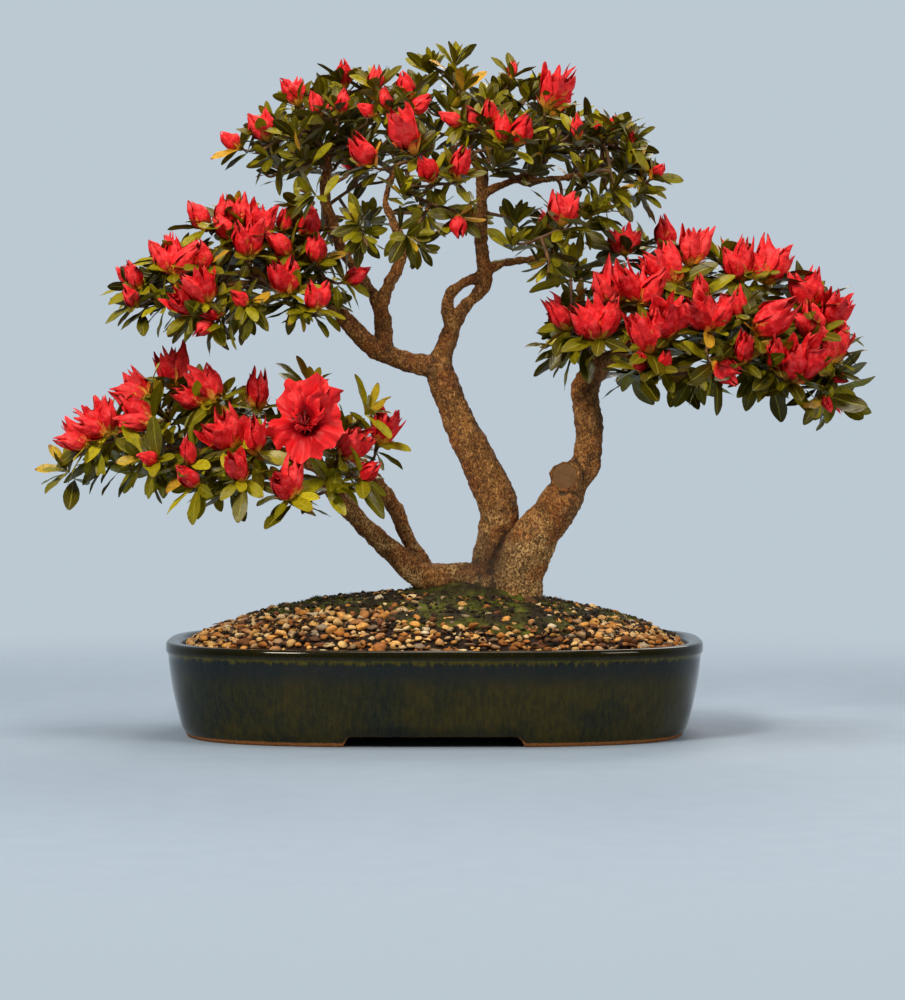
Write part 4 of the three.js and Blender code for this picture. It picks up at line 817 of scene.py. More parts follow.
def seen(x: float, z: float, y: float) -> Vector:
    """The place, in millimetres, that is seen from the front at (x, z) and lies at depth y."""
    share = (SIGHT_DISTANCE + y) / SIGHT_DISTANCE
    return Vector((SIGHT_X + (x - SIGHT_X) * share, y, SIGHT_HEIGHT + (z - SIGHT_HEIGHT) * share))


@dataclass
class Shoot:
    """The end of a twig: its tip and heading, and the buds that it carries. Lengths in millimetres."""

    tip: Vector
    along: Vector
    buds: int
    length: float


def growth(lean: float, outward: float) -> Vector:
    """The heading of a shoot that leans sideways by degrees and grows outwards by a share."""
    angle = math.radians(lean)
    return Vector((sin(angle), outward * 0.7, cos(angle))).normalized()


def shoots_of(pad: Pad) -> list[Shoot]:
    """A pad's shoots: those seen from the front and their fellows on the far side.

    Args:
        pad: The pad.

    Returns:
        The shoots in order.
    """
    draws = Draws(pad.seed)
    front = []
    for x, z, lean, buds, length in pad.shoots + tuple((*place, 0, 0) for place in pad.leafy):
        across = (x - pad.centre[0]) / pad.half[0]
        rise = sqrt(max(0.05, 1 - across * across))
        height = min(1.0, max(0.0, (z - pad.centre[2]) / (pad.half[2] * rise)))
        front.append((x, z, lean, buds, length, rise * (1 - height) ** 0.6))
    back = []
    for x, z, lean, buds, length, depth in front:
        slide, lift = draws.between(-BACK_SLIDE, BACK_SLIDE), draws.between(-BACK_LIFT, BACK_LIFT)
        turn = draws.between(-BACK_TURN, BACK_TURN)
        kind, share, kept = draws.next(), draws.between(0.75, 1), draws.next()
        if depth < BACK_DEPTH or kept < BACK_LEFT_OUT:
            continue
        back.append((x + slide, z + lift, lean + turn, min(buds, 2), length * (0.85 + 0.2 * kind), -depth * share))
    return [
        Shoot(seen(x, z, pad.centre[1] - depth * pad.half[1]), growth(lean, -depth), buds, length)
        for x, z, lean, buds, length, depth in front + back
    ]


def filling_shoots(pad: Pad, low: float) -> list[Shoot]:
    """Shoots inside a pad and on its far side, which close it up.

    Args:
        pad: The pad.
        low: The least height, as a share of the pad's.

    Returns:
        The shoots.
    """
    draws = Draws(pad.seed + 7 + round(10 * low))
    shoots = []
    for _ in range(pad.inner):
        across = draws.between(-0.82, 0.82)
        rise = sqrt(1 - across * across)
        height = draws.between(low, low + 0.65) * rise
        depth = draws.between(-0.85, 0.35) * rise * sqrt(max(0.1, 1 - height * height))
        x, z = pad.centre[0] + across * pad.half[0], pad.centre[2] + height * pad.half[2]
        tip = seen(x, z, pad.centre[1] - depth * pad.half[1])
        shoots.append(Shoot(tip, growth(60 * across + draws.between(-20, 20), -depth), 0, 0.0))
    return shoots


def tuft_shoots(pad: Pad) -> list[Shoot]:
    """Upright leafy shoots that stand out of the top of a pad.

    Args:
        pad: The pad.

    Returns:
        The shoots.
    """
    draws = Draws(pad.seed + 9)
    return [
        Shoot(seen(x, z, pad.centre[1] + draws.between(-0.5, 0.5) * pad.half[1]), growth(lean, 0), 0, 0.0)
        for x, z, lean in pad.tufts
    ]


def smooth_path(stations: Sequence[Vector], steps: int) -> list[Vector]:
    """A smooth path through stations.

    Args:
        stations: The points that it passes through.
        steps: Steps between two of them.

    Returns:
        The points of the path.
    """
    path = []
    last = len(stations) - 1
    for i in range(last):
        a, b, c, d = (stations[min(max(i + k, 0), last)] for k in (-1, 0, 1, 2))
        for t in (step / steps for step in range(steps)):
            straight, bend, curl = c - a, 2 * a - 5 * b + 4 * c - d, 3 * b - a - 3 * c + d
            path.append(0.5 * (2 * b + straight * t + bend * t * t + curl * t**3))
    path.append(stations[last].copy())
    return path


def wall_inset(z: float) -> float:
    """How far the pot's inner wall stands in from the rim's outline at a height, in millimetres."""
    return POT_WALL + 2 + CAVITY_TAPER * (POT_HEIGHT - 4 - z) / (POT_HEIGHT - 4 - FLOOR_TOP) + 0.35


def pot_share(x: float, y: float, margin: float = 0.0) -> float:
    """How far out a place lies on the gravel: one at the wall, or at a margin off it."""
    wide, deep = (half - wall_inset(SOIL_EDGE) - margin for half in (POT_HALF_WIDTH, POT_HALF_DEPTH))
    return abs((x - POT_X) / wide) ** POT_SQUARENESS + abs(y / deep) ** POT_SQUARENESS


def root_share(x: float, y: float) -> float:
    """How far out a place lies from the foot of the trunks: one at its edge."""
    return math.hypot((x - ROOT_X) / ROOT_HALF_WIDTH, y / ROOT_HALF_DEPTH)


def gravel_height(x: float, y: float) -> float:
    """The height of the gravel's middle layer at a place, in millimetres."""
    share = pot_share(x, y) ** (1 / POT_SQUARENESS)
    return SOIL_EDGE + SOIL_MOUND * max(0.0, 1 - share * share) ** 0.8 + 0.7 * GRAVEL_DEPTH


def outline(inset: float, angle: float) -> tuple[float, float]:
    """A point of the pot's rounded outline, inset from its rim, in millimetres."""
    wide, deep = (math.copysign(abs(c) ** (2 / POT_SQUARENESS), c) for c in (cos(angle), sin(angle)))
    return POT_X + (POT_HALF_WIDTH - inset) * wide, (POT_HALF_DEPTH - inset) * deep


class Glaze(Paint):
    """A dark olive glaze that breaks to blue-teal under the rim, with runs and a bare foot."""

    def __init__(self) -> None:
        """Lays the glaze from the ground coat up to the rim."""
        super().__init__("dark_green_glaze", 0.12, Coat_Roughness=0.04, Specular_IOR_Level=0.12)
        height = self.apart(self.place(), "Z") * 1000
        runs = self.noise(300, 4, 0.7, self.place((1, 1, 0.2)))
        clouds = self.noise(13, 4, 0.6)
        base = self.ramp(clouds, (0.34, 10, 22, 18), (0.44, 26, 27, 3), (0.54, 48, 40, 0), (0.68, 34, 36, 6))
        base = self.blend(runs.above(0.5, 0.16) * 0.3, base, (66, 60, 6))
        base = self.blend((1 - runs).above(0.52, 0.12) * 0.35, base, (14, 22, 16))
        band = (height + runs * 24 - 12).above(58, 9) * (1 - (height + runs * 10 - 5).above(72.5, 2))
        base = self.blend(band * 0.75, base, (8, 20, 28))
        lip = (height + runs * 14 - 7).above(73, 1.5) * (1 - height.above(75.5, 1.2))
        base = self.blend(lip * (runs * 1.6 - 0.2), base, (86, 80, 12))
        base = self.blend(height.above(76, 1.2) * 0.85, base, (18, 18, 8))
        specks = self.cells(420).above(0.16, 0.04)
        base = self.blend((1 - specks) * 0.4, base, (72, 68, 30))
        grain = self.noise(900, 2)
        clay = self.ramp(grain, (0.3, 112, 66, 34), (0.7, 176, 116, 66))
        bare = (self.given("foot") + self.noise(120, 2) * 0.3).above(0.85, 0.2)
        self.set("Base Color", self.blend(bare, base, clay))
        self.set("Roughness", bare * 0.65 + 0.08 + runs * 0.05)
        self.set("Coat Weight", (1 - bare) * 0.26)
        self.relief(self.noise(60, 2) + grain * 0.03, 0.22, 0.0008)


@dataclass
class Pot:
    """The glazed pot. Lengths in millimetres."""

    sides: int = 288
    arch_ease: float = 4.5
    arch_steps: tuple[float, ...] = (0.0, 1.0, 2.5, 4.5, 7.0)
    foot_inset: float = 26.0
    least_turn: float = 0.008
    hole_sides: int = 32
    hole_bottom: float = 2.0
    hole_height: float = 30.0
    profile: tuple[tuple[float, float], ...] = (
        (POT_WALL + 40, FOOT_RECESS), (36.5, FOOT_RECESS), (35, FOOT_RECESS - 1.2), (35, 1.4), (33.6, 0),
        (28, 0), (19.4, 0), (17.9, 0.8), (17, 2.4), (15, 6), (13.2, 10), (10.2, 21), (7.6, 32), (5.4, 43),
        (3.7, 54), (2.7, 63), (2.1, 70), (1.7, 73.2), (0.4, 74.6), (0, 75.8), (0, 78.5), (0, 81), (0.5, 82.8),
        (1.7, 83.8), (3.2, POT_HEIGHT), (6.4, POT_HEIGHT), (9.2, POT_HEIGHT), (11.0, 83.6), (12.6, 82.4),
        (13.6, 80.6), (14.6, 77), (16, 70), (21, 48), (25, 30), (28, 21.4), (29.5, FLOOR_TOP), (60, FLOOR_TOP),
    )

    def foot(self, x: float, y: float) -> float:
        """How high the foot stands over the surface at a place."""
        inside = max(ARCH_HALF_WIDTH - abs(x - POT_X), END_ARCH_HALF_WIDTH - abs(y)) / self.arch_ease
        return ARCH_HEIGHT * min(1.0, max(0.0, inside)) ** 0.8

    def turns(self) -> list[float]:
        """The angles of the pot's columns, with a few more at the arches' edges.

        Returns:
            The angles in order.
        """
        edges = []
        for step in self.arch_steps:
            c = ((ARCH_HALF_WIDTH - step) / (POT_HALF_WIDTH - self.foot_inset)) ** (POT_SQUARENESS / 2)
            s = ((END_ARCH_HALF_WIDTH - step) / (POT_HALF_DEPTH - self.foot_inset)) ** (POT_SQUARENESS / 2)
            for turn in (math.acos(c), math.asin(s)):
                edges += [turn, pi - turn, pi + turn, FULL_TURN - turn]
        even = [FULL_TURN * k / self.sides for k in range(self.sides)]
        return sorted(edges + [turn for turn in even if all(abs(turn - edge) > self.least_turn for edge in edges)])

    def build(self) -> None:
        """Makes the pot's body, foot, rim and inside as one closed skin with its two drain holes."""
        form = Form()
        turns = self.turns()
        sides = len(turns)
        last = len(self.profile) - 1

        def at(across: float, along: float) -> Vector:
            """A point of the skin."""
            inset, z = self.profile[round(along * last)]
            x, y = outline(inset, turns[round(across * sides) % sides])
            if z < FOOT_RECESS and inset > POT_WALL:
                low = self.foot(x, y) if inset < 60 else 0
                z = low + z * (1 - low / FOOT_RECESS)
            return Vector((x, y, z)) * MM

        form.sheet(last, sides, at, closed=True, capped=True)
        form.numbers["foot"] = [1.0 if 2 <= i // sides <= 8 else 0.0 for i in range(len(form.points))]
        pot = form.made("glazed_pot")
        for x in (-DRAIN_X, DRAIN_X):
            self._cut_hole(pot, POT_X + x)
        pot.data.materials.clear()
        pot.data.materials.append(Glaze().material)
        pot.data.shade_smooth()
        hand_in(pot, Slot.GLAZED_CERAMIC, ["pot"])

    def _cut_hole(self, pot: bpy.types.Object, x: float) -> None:
        """Cuts one drain hole through the floor.

        Args:
            pot: The pot.
            x: Where the hole's middle is.
        """
        form = Form()

        def at(across: float, along: float) -> Vector:
            """A point of the tool, at a share round it and a share of its height."""
            side = about_z(DRAIN_RADIUS, FULL_TURN * across, self.hole_bottom + self.hole_height * along)
            return (Vector((x, 0, 0)) + side) * MM

        form.sheet(1, self.hole_sides, at, closed=True, capped=True)
        tool = form.made("drain_tool")
        cut = pot.modifiers.new("cut", "BOOLEAN")
        cut.operation = "DIFFERENCE"
        cut.object = tool
        settle(pot)
        bpy.data.objects.remove(tool)


class Stone(Paint):
    """Tan, ochre, cream and brown stones."""

    def __init__(self) -> None:
        """Lays the stones' own tones, then their specks."""
        super().__init__("gravel_stone", 0.82)
        tones = (
            (0.0, 104, 56, 18), (0.16, 182, 112, 40), (0.34, 234, 170, 84), (0.5, 246, 206, 136), (0.62, 170, 104, 44),
            (0.76, 248, 222, 170), (0.86, 122, 70, 36), (0.94, 78, 48, 28), (1.0, 250, 234, 198),
        )
        base = self.ramp(self.given("tint"), *tones)
        speck = self.noise(900, 3, 0.6)
        worn = self.blend(speck.above(0.54, 0.08) * 0.5, base, (104, 66, 30))
        self.set("Base Color", self.blend(self.noise(70, 2).above(0.56, 0.1) * 0.5, worn, (84, 56, 28)))
        self.relief(speck, 0.5, 0.0006)


class GritWithGapShade(Paint):
    """Fine grit between the stones, kept near-black as painted shade in the gaps between them."""

    def __init__(self) -> None:
        """Lays the grains."""
        super().__init__("fine_grit", 0.95)
        grain = self.cells(520)
        # Painted shade: the grit is near-black to stand for the shade between the stones.
        self.set("Base Color", self.ramp(grain, (0.1, 10, 4, 0), (0.5, 36, 18, 2)))
        self.relief(grain, 0.8, 0.0015)


class Moss(Paint):
    """Deep green moss with drier patches."""

    def __init__(self) -> None:
        """Lays the patches, then the tips of the tufts."""
        super().__init__("moss", 0.9)
        patch = self.noise(34, 4, 0.6)
        base = self.ramp(patch, (0.38, 30, 18, 2), (0.46, 40, 34, 2), (0.54, 60, 62, 4), (0.64, 92, 98, 10))
        base = self.blend(self.given("tint") * 0.3, base, (96, 96, 14))
        self.set("Base Color", self.blend(self.noise(700, 2).above(0.6, 0.08) * 0.4, base, (66, 46, 22)))
        self.relief(self.noise(1100, 2), 0.7, 0.001)


class DryScraps(Paint):
    """Dry brown scraps of moss and bark."""

    def __init__(self) -> None:
        """Lays the brown."""
        super().__init__("dry_scraps", 0.9)
        self.set("Base Color", self.ramp(self.given("tint"), (0, 18, 9, 2), (0.7, 44, 26, 10), (1, 112, 76, 40)))
        self.relief(self.noise(900), 0.5, 0.0006)


@dataclass
class Ground:
    """The gravel with its moss and dry bits, on the soil mound. Lengths in millimetres.

    A moss spot is (x, y, half width, half depth), and a cushion of moss is (x, y, radius, height).
    """

    scatter: Scatter
    pebbles: int = 1650
    grit: int = 1300
    tufts: int = 6000
    crumbs: int = 1350
    flakes: int = 260
    stone_kinds: int = 9
    crumb_kinds: int = 3
    most_tries: int = 60000
    grid_step: float = 12.0
    closeness: float = 0.41
    moss_limit: float = 0.3
    moss_spots: tuple[Four, ...] = (
        (30, 4, 92, 58), (2, -72, 62, 46), (64, -80, 54, 44), (-74, -34, 64, 42), (118, -34, 50, 44),
        (-30, 62, 60, 30), (-134, -16, 40, 40), (162, 6, 34, 34), (92, 60, 40, 26), (-100, 60, 36, 26),
    )
    cushion_spots: tuple[Four, ...] = (
        (-117, -4, 8.5, 7), (-96, -30, 6, 4), (132, -44, 7, 4), (150, 20, 9, 5), (-150, 40, 8, 5), (-60, 84, 10, 6),
    )

    def stone_form(self, seed: int) -> Form:
        """One stone of a unit's width, a ball that is pushed in on several flat sides.

        Args:
            seed: Which stone it is.

        Returns:
            Its form.
        """
        draws = Draws(900 + seed)
        sides = [(draws.vector(-1, 1).normalized(), draws.between(0.2, 0.37)) for _ in range(8)]
        form = Form()
        slip = draws.angle()

        def at(across: float, along: float) -> Vector:
            """A point of the stone."""
            rise = pi * (0.06 + 0.88 * along)
            point = about_z(sin(rise), FULL_TURN * across + slip + 0.4 * along, -cos(rise)) * 0.5
            for way, limit in sides:
                over = point.dot(way) - limit
                if over > 0:
                    point -= way * over * 0.95
            return point

        form.sheet(5, 8, at, closed=True, capped=True)
        return form

    def flake_form(self) -> Form:
        """A small curled scrap of a unit's length.

        Returns:
            Its form.
        """
        form = Form()

        def at(across: float, along: float) -> Vector:
            """A point of the scrap."""
            wide = 0.28 * sin(pi * (0.1 + 0.85 * along))
            return Vector((along - 0.5, (across - 0.5) * 2 * wide, 0.16 * sin(3 * along) + 0.1 * across))

        form.sheet(3, 2, at, flip=True)
        return form

    def tuft_form(self) -> Form:
        """A tuft of three small pointed blades of a unit's height.

        Returns:
            Its form.
        """
        form = Form()
        for k in range(3):
            out = about_z(1, 2.1 * k)
            side = Vector((-out.y, out.x, 0)) * 0.16

            def at(across: float, along: float) -> Vector:
                """A point at a share across and up the blade."""
                lean = out * (0.12 + 0.45 * along * along)
                return lean + side * (across - 0.5) * 2 * (1 - along) + Vector((0, 0, along))

            form.sheet(2, 1, at)
        return form

    @staticmethod
    def anywhere(draws: Draws) -> tuple[float, float]:
        """A place over the pot, in millimetres."""
        return POT_X + draws.between(-1, 1) * POT_HALF_WIDTH, draws.between(-1, 1) * POT_HALF_DEPTH

    @staticmethod
    def strewn(draws: Draws, tilt: float, axis: str = "Y") -> Matrix:
        """The turn of something that lies about, tilted a little."""
        return Matrix.Rotation(draws.angle(), 3, "Z") @ Matrix.Rotation(draws.between(-tilt, tilt), 3, axis)

    @staticmethod
    def laid(x: float, y: float, lift: float, turn: Matrix, size: Vector, kind: int, tint: float) -> Placed:
        """One copy on the gravel, lifted off its middle layer."""
        return Placed(Vector((x, y, gravel_height(x, y) + lift)) * MM, turn, size * MM, kind, tint)

    def is_bare(self, x: float, y: float, margin: float, gap: float = 1.0) -> bool:
        """Whether a place lies a margin off the wall and outside a share of the trunks' foot."""
        return pot_share(x, y, margin) < 1 and root_share(x, y) >= gap

    def moss_share(self, x: float, y: float) -> float:
        """How thick the moss is at a place, from nought at its ragged edge to one at the trunks."""
        reach = max(1 - math.hypot((x - a) / w, (y - b) / d) for a, b, w, d in self.moss_spots)
        return min(1.0, max(0.0, (reach + (0.42 * lump(x, y, 3, 0.045) + 0.3 * lump(x, y, 8, 0.13))) / 0.45))

    def bed(self) -> None:
        """Makes the bed of grit that the stones lie on, dark with painted shade for the gaps."""
        form = Form()

        def at(across: float, along: float) -> Vector:
            """A point at a share round the bed and a share from the wall to the middle."""
            x, y = outline(wall_inset(SOIL_EDGE), FULL_TURN * across)
            x, y = POT_X + (x - POT_X) * (1 - along), y * (1 - along)
            return Vector((x, y, gravel_height(x, y) - 2.2 + lump(x, y, 0, 0.12) * 1.4)) * MM

        form.sheet(36, 160, at, closed=True)
        hand_in(form.made("gravel_bed", GritWithGapShade().material), Slot.GRAVEL, ["gravel"])

    def big_stones(self, draws: Draws) -> list[Placed]:
        """The stones that lie side by side, clear of each other.

        Args:
            draws: Where the draws come from.

        Returns:
            The stones.
        """
        grid: dict[tuple[int, int], list[Three]] = {}
        stones: list[Placed] = []
        for _ in range(self.most_tries):
            if len(stones) == self.pebbles:
                break
            x, y = self.anywhere(draws)
            wide = draws.between(6.0, 11.0) if draws.next() < 0.8 else draws.between(10.5, 14.0)
            if not self.is_bare(x, y, 0.42 * wide):
                continue
            if self.moss_share(x, y) > self.moss_limit and draws.next() < 0.95:
                continue
            cell = (int(x // self.grid_step), int(y // self.grid_step))
            about = [grid.get((cell[0] + i, cell[1] + j), []) for i in (-1, 0, 1) for j in (-1, 0, 1)]
            if any(math.hypot(x - a, y - b) < self.closeness * (wide + w) for held in about for a, b, w in held):
                continue
            grid.setdefault(cell, []).append((x, y, wide))
            lift, turn = draws.between(-0.8, 1.4), self.strewn(draws, 0.6, "X")
            size = Vector((wide * draws.between(0.95, 1.5), wide, wide * draws.between(0.5, 0.85)))
            stones.append(self.laid(x, y, lift, turn, size, draws.whole(self.stone_kinds), draws.next()))
        return stones

    def add_small_stones(self, stones: list[Placed], draws: Draws) -> None:
        """Fills the gaps between the stones with grit, which makes up the full count.

        Args:
            stones: The stones, to which it is added.
            draws: Where the draws come from.
        """
        while len(stones) < self.pebbles + self.grit:
            x, y = self.anywhere(draws)
            if not self.is_bare(x, y, 2) or self.moss_share(x, y) > self.moss_limit:
                continue
            wide = draws.between(3.0, 5.2)
            turn = Matrix.Rotation(draws.angle(), 3, "Z")
            size = Vector((wide * 1.2, wide, wide * 0.7))
            stones.append(self.laid(x, y, -1.4, turn, size, draws.whole(self.stone_kinds), draws.next()))

    def gravel(self) -> None:
        """Makes the bed and the stones on it, in a near and a far half."""
        self.bed()
        draws = Draws(21)
        shapes = [self.stone_form(i) for i in range(self.stone_kinds)]
        stones = self.big_stones(draws)
        self.add_small_stones(stones, draws)
        finish = Stone().material
        for name, is_near in (("gravel_near", True), ("gravel_far", False)):
            copies = [stone for stone in stones if (stone.at.y < 0) == is_near]
            hand_in(self.scatter.spread(name, copies, shapes, finish), Slot.GRAVEL)

    def cushion(self, spot: Four) -> Form:
        """A low round cushion of moss.

        Args:
            spot: Where it is and how large.

        Returns:
            Its form.
        """
        x0, y0, radius, height = spot
        form = Form()

        def at(across: float, along: float) -> Vector:
            """A point of the cushion."""
            angle = FULL_TURN * across
            far = radius * (1 - along) * (1 + 0.16 * sin(3 * angle + x0) + 0.08 * sin(7 * angle))
            x, y = x0 + far * cos(angle), y0 + 0.8 * far * sin(angle)
            swell = height * sqrt(max(0.0, 1 - (1 - along) ** 2))
            return Vector((x, y, gravel_height(x, y) - 1.5 + swell)) * MM

        form.sheet(8, 28, at, closed=True)
        return form

    def tuft(self, draws: Draws) -> Placed | None:
        """One tuft on the moss or on a cushion.

        Args:
            draws: Where the draws come from.

        Returns:
            The tuft, or nothing where the place isn't mossy.
        """
        if draws.next() < 0.93:
            a, b, w, d = self.moss_spots[draws.whole(len(self.moss_spots))]
            angle, share = draws.between(0, FULL_TURN), 1.25 * sqrt(draws.next())
            x, y = a + w * share * cos(angle), b + d * share * sin(angle)
            if self.moss_share(x, y) < 0.12 or not self.is_bare(x, y, 3, 0.5):
                return None
            z = self.moss_top(x, y) - 0.4
        else:
            x0, y0, radius, height = self.cushion_spots[draws.whole(len(self.cushion_spots))]
            angle, share = draws.between(0, FULL_TURN), sqrt(draws.next())
            x, y = x0 + radius * share * cos(angle), y0 + 0.8 * radius * share * sin(angle)
            z = gravel_height(x, y) - 1.8 + height * sqrt(max(0.0, 1 - share * share))
        lean = Vector((draws.between(-0.5, 0.5), draws.between(-0.5, 0.5), 1))
        size = Vector((1, 1, 1)) * draws.between(1.6, 3.2) * MM
        return Placed(Vector((x, y, z)) * MM, facing(about_z(1, 9 * angle), lean), size, 0, draws.next())

    def mosses(self) -> None:
        """Makes the moss round the trunks with its tufts, and the small cushions on the gravel."""
        form = Form()

        def at(across: float, along: float) -> Vector:
            """A point of the moss, at a share round it and a share out from the trunks."""
            x, y = outline(wall_inset(SOIL_EDGE) + 4, FULL_TURN * across)
            x, y = ROOT_X + (x - ROOT_X) * along, y * along
            return Vector((x, y, self.moss_top(x, y))) * MM

        form.sheet(84, 260, at, closed=True, flip=True)
        finish = Moss().material
        patch = form.made("moss_patch", finish, smooth=True)
        self._keep_moss(patch)
        hand_in(patch, Slot.SOIL)
        for i, spot in enumerate(self.cushion_spots):
            hand_in(self.cushion(spot).made(f"moss_cushion_{i}", finish), Slot.SOIL)
        draws = Draws(31)
        copies: list[Placed] = []
        while len(copies) < self.tufts:
            tuft = self.tuft(draws)
            copies += [tuft] if tuft else []
        hand_in(self.scatter.spread("moss_tufts", copies, [self.tuft_form()], finish), Slot.SOIL)

    def moss_top(self, x: float, y: float) -> float:
        """The height of the moss at a place, which is under the gravel where there is none."""
        swell = 5.6 + (1.3 * lump(x, y, 5, 0.16) + 0.9 * lump(x, y, 9, 0.5)) + 13.0 * max(0.0, 1.15 - root_share(x, y))
        return gravel_height(x, y) - 3.0 + swell * self.moss_share(x, y) ** 0.7

    def _keep_moss(self, patch: bpy.types.Object) -> None:
        """Takes the moss sheet away where there is no moss.

        Args:
            patch: The sheet.
        """
        mesh = bmesh.new()
        mesh.from_mesh(patch.data)
        bare = [f for f in mesh.faces if all(self.moss_share(v.co.x / MM, v.co.y / MM) < 0.02 for v in f.verts)]
        bmesh.ops.delete(mesh, geom=bare, context="FACES")
        mesh.to_mesh(patch.data)
        mesh.free()

    def scraps(self) -> None:
        """Makes the dry scraps and crumbs among the stones, most of them near the wall and round the moss."""
        draws = Draws(41)
        flakes: list[Placed] = []
        while len(flakes) < self.flakes:
            angle = draws.between(0, FULL_TURN)
            share = draws.between(0.75, 0.99) if draws.next() < 0.6 else draws.between(0.3, 0.9)
            x, y = outline(wall_inset(SOIL_EDGE) + 3, angle)
            x, y = POT_X + (x - POT_X) * share, y * share
            if root_share(x, y) < 1.1:
                continue
            lift, turn = draws.between(1.2, 3.2), self.strewn(draws, 0.4)
            flakes.append(self.laid(x, y, lift, turn, Vector((1, 1, 1)) * draws.between(3.5, 8.0), 0, draws.next()))
        dry = DryScraps().material
        hand_in(self.scatter.spread("dry_scraps", flakes, [self.flake_form()], dry), Slot.SOIL)
        crumbs: list[Placed] = []
        while len(crumbs) < self.crumbs:
            x, y = self.anywhere(draws)
            if not self.is_bare(x, y, 6, 1.05):
                continue
            clump = lump(x, y, 20, 0.05) + 0.5 * self.moss_share(x, y) + 0.25 * (abs(y - 25) < 45)
            if clump < draws.between(0.0, 0.5):
                continue
            lift, turn, wide = draws.between(0.8, 3.6), self.strewn(draws, 0.8), draws.between(2.4, 6.0)
            size = Vector((wide * draws.between(0.9, 1.7), wide, wide * 0.7))
            kind, tint = draws.whole(self.crumb_kinds), draws.next() ** 2 * 0.8
            crumbs.append(self.laid(x, y, lift, turn, size, kind, tint))
        shapes = [self.stone_form(20 + i) for i in range(self.crumb_kinds)]
        hand_in(self.scatter.spread("dry_crumbs", crumbs, shapes, dry), Slot.SOIL)


@dataclass(frozen=True)
class Scar:
    """The stub of a cut limb: where it starts, the way it points, its radius and its length, in millimetres."""

    start: Three
    toward: Three
    radius: float
    reach: float

    def at(self, share: float) -> Vector:
        """The point at a share of its length."""
        return Vector(self.start) + Vector(self.toward).normalized() * self.reach * share


class Bark(Paint):
    """Fine flaky bark, orange-brown on its ridges, grey-tan low down, with pale ringed scars."""

    # The middle of the painted shade in the crotch between the trunks, in metres.
    shaded_crotch: Three = (0.034, -0.018, 0.152)

    def __init__(self, scars: Sequence[Scar]) -> None:
        """Lays the bark, its stains, painted shade in the crotch between the trunks and in the hollows of the wood,
        and the scars.

        Args:
            scars: Where limbs were cut.
        """
        super().__init__("azalea_bark", 0.85)
        wander = self.noise(38, 3, 0.6)
        sockets = {"Vector": self.place(), "Scale": 60.0, "Detail": 2.0}
        nudge = self.scaled(self.node("ShaderNodeTexNoise", None, sockets, "Color"), 0.006)
        moved = self.vector("ADD", self.place((1, 1, 0.7)), nudge)
        flakes = self.cells(620, moved)
        plates = self.noise(480, 4, 0.72, moved)
        fine = self.noise(1100, 3, 0.7)
        broad = self.noise(95, 4, 0.6, moved)
        tone = plates * 0.38 + broad * 0.16 + fine * 0.36 + flakes * 0.16
        rough = plates * 0.55 + fine * 0.35 + flakes * 0.2
        brown = ((0.38, 28, 12, 0), (0.46, 76, 42, 8), (0.53, 122, 76, 26), (0.6, 178, 124, 58), (0.68, 236, 192, 126))
        base = self.ramp(tone, *brown)
        rust = self.ramp(tone, (0.4, 46, 16, 0), (0.52, 126, 64, 14), (0.64, 200, 124, 46))
        grey = self.ramp(rough, (0.42, 40, 22, 2), (0.53, 136, 94, 42), (0.64, 244, 206, 140))
        base = self.blend(wander.above(0.53, 0.06) * 0.6, base, rust)
        stain = self.noise(130, 4, 0.6)
        base = self.blend((1 - stain).above(0.58, 0.07) * 0.45, base, (50, 28, 8))
        base = self.blend(stain.above(0.6, 0.07) * 0.3, base, (208, 156, 96))
        low = 1 - (self.apart(self.place(), "Z") * 1000 + wander * 120 - 60).above(176, 26)
        base = self.blend(low * 0.75 * (1 - wander.above(0.54, 0.06) * 0.7), base, grey)
        # Painted shade: the bark darkens near the crotch between the trunks.
        shaded_crotch = self.vector("DISTANCE", self.place(), self.shaded_crotch, "Value")
        base = self.blend((1 - (shaded_crotch * 1000 + stain * 30).above(44, 22)) * 0.7, base, (44, 26, 10))
        # Painted shade: darker where the wood lies in a hollow.
        base = self.blend(self.given("hollow").above(0.45, 0.4) * 0.8, base, (40, 26, 14))
        height = tone
        for scar in scars:
            end = tuple(scar.at(1.0) * MM)
            gap = self.vector("DISTANCE", self.place(), end, "Value")
            way = tuple(Vector(scar.toward).normalized())
            depth = self.vector("DOT_PRODUCT", self.vector("SUBTRACT", self.place(), end), way, "Value")
            inside = 1 - (gap + wander * 0.003).above((scar.radius - 0.6) * MM, 0.0008)
            face = inside * depth.above(-0.0022, 0.0008)
            rings = (gap * 3600 + wander * 14).wave()
            heart = self.ramp(rings * 0.5 + 0.5, (0.1, 96, 64, 28), (0.7, 116, 80, 38))
            heart = self.blend(self.noise(300, 3).above(0.55, 0.1) * 0.4, heart, (84, 58, 26))
            base = self.blend(face, base, heart)
            height = height * (1 - face * 0.85)
        self.set("Base Color", base)
        self.set("Roughness", plates * 0.3 + 0.62)
        self.relief(height, 0.9, 0.0034)


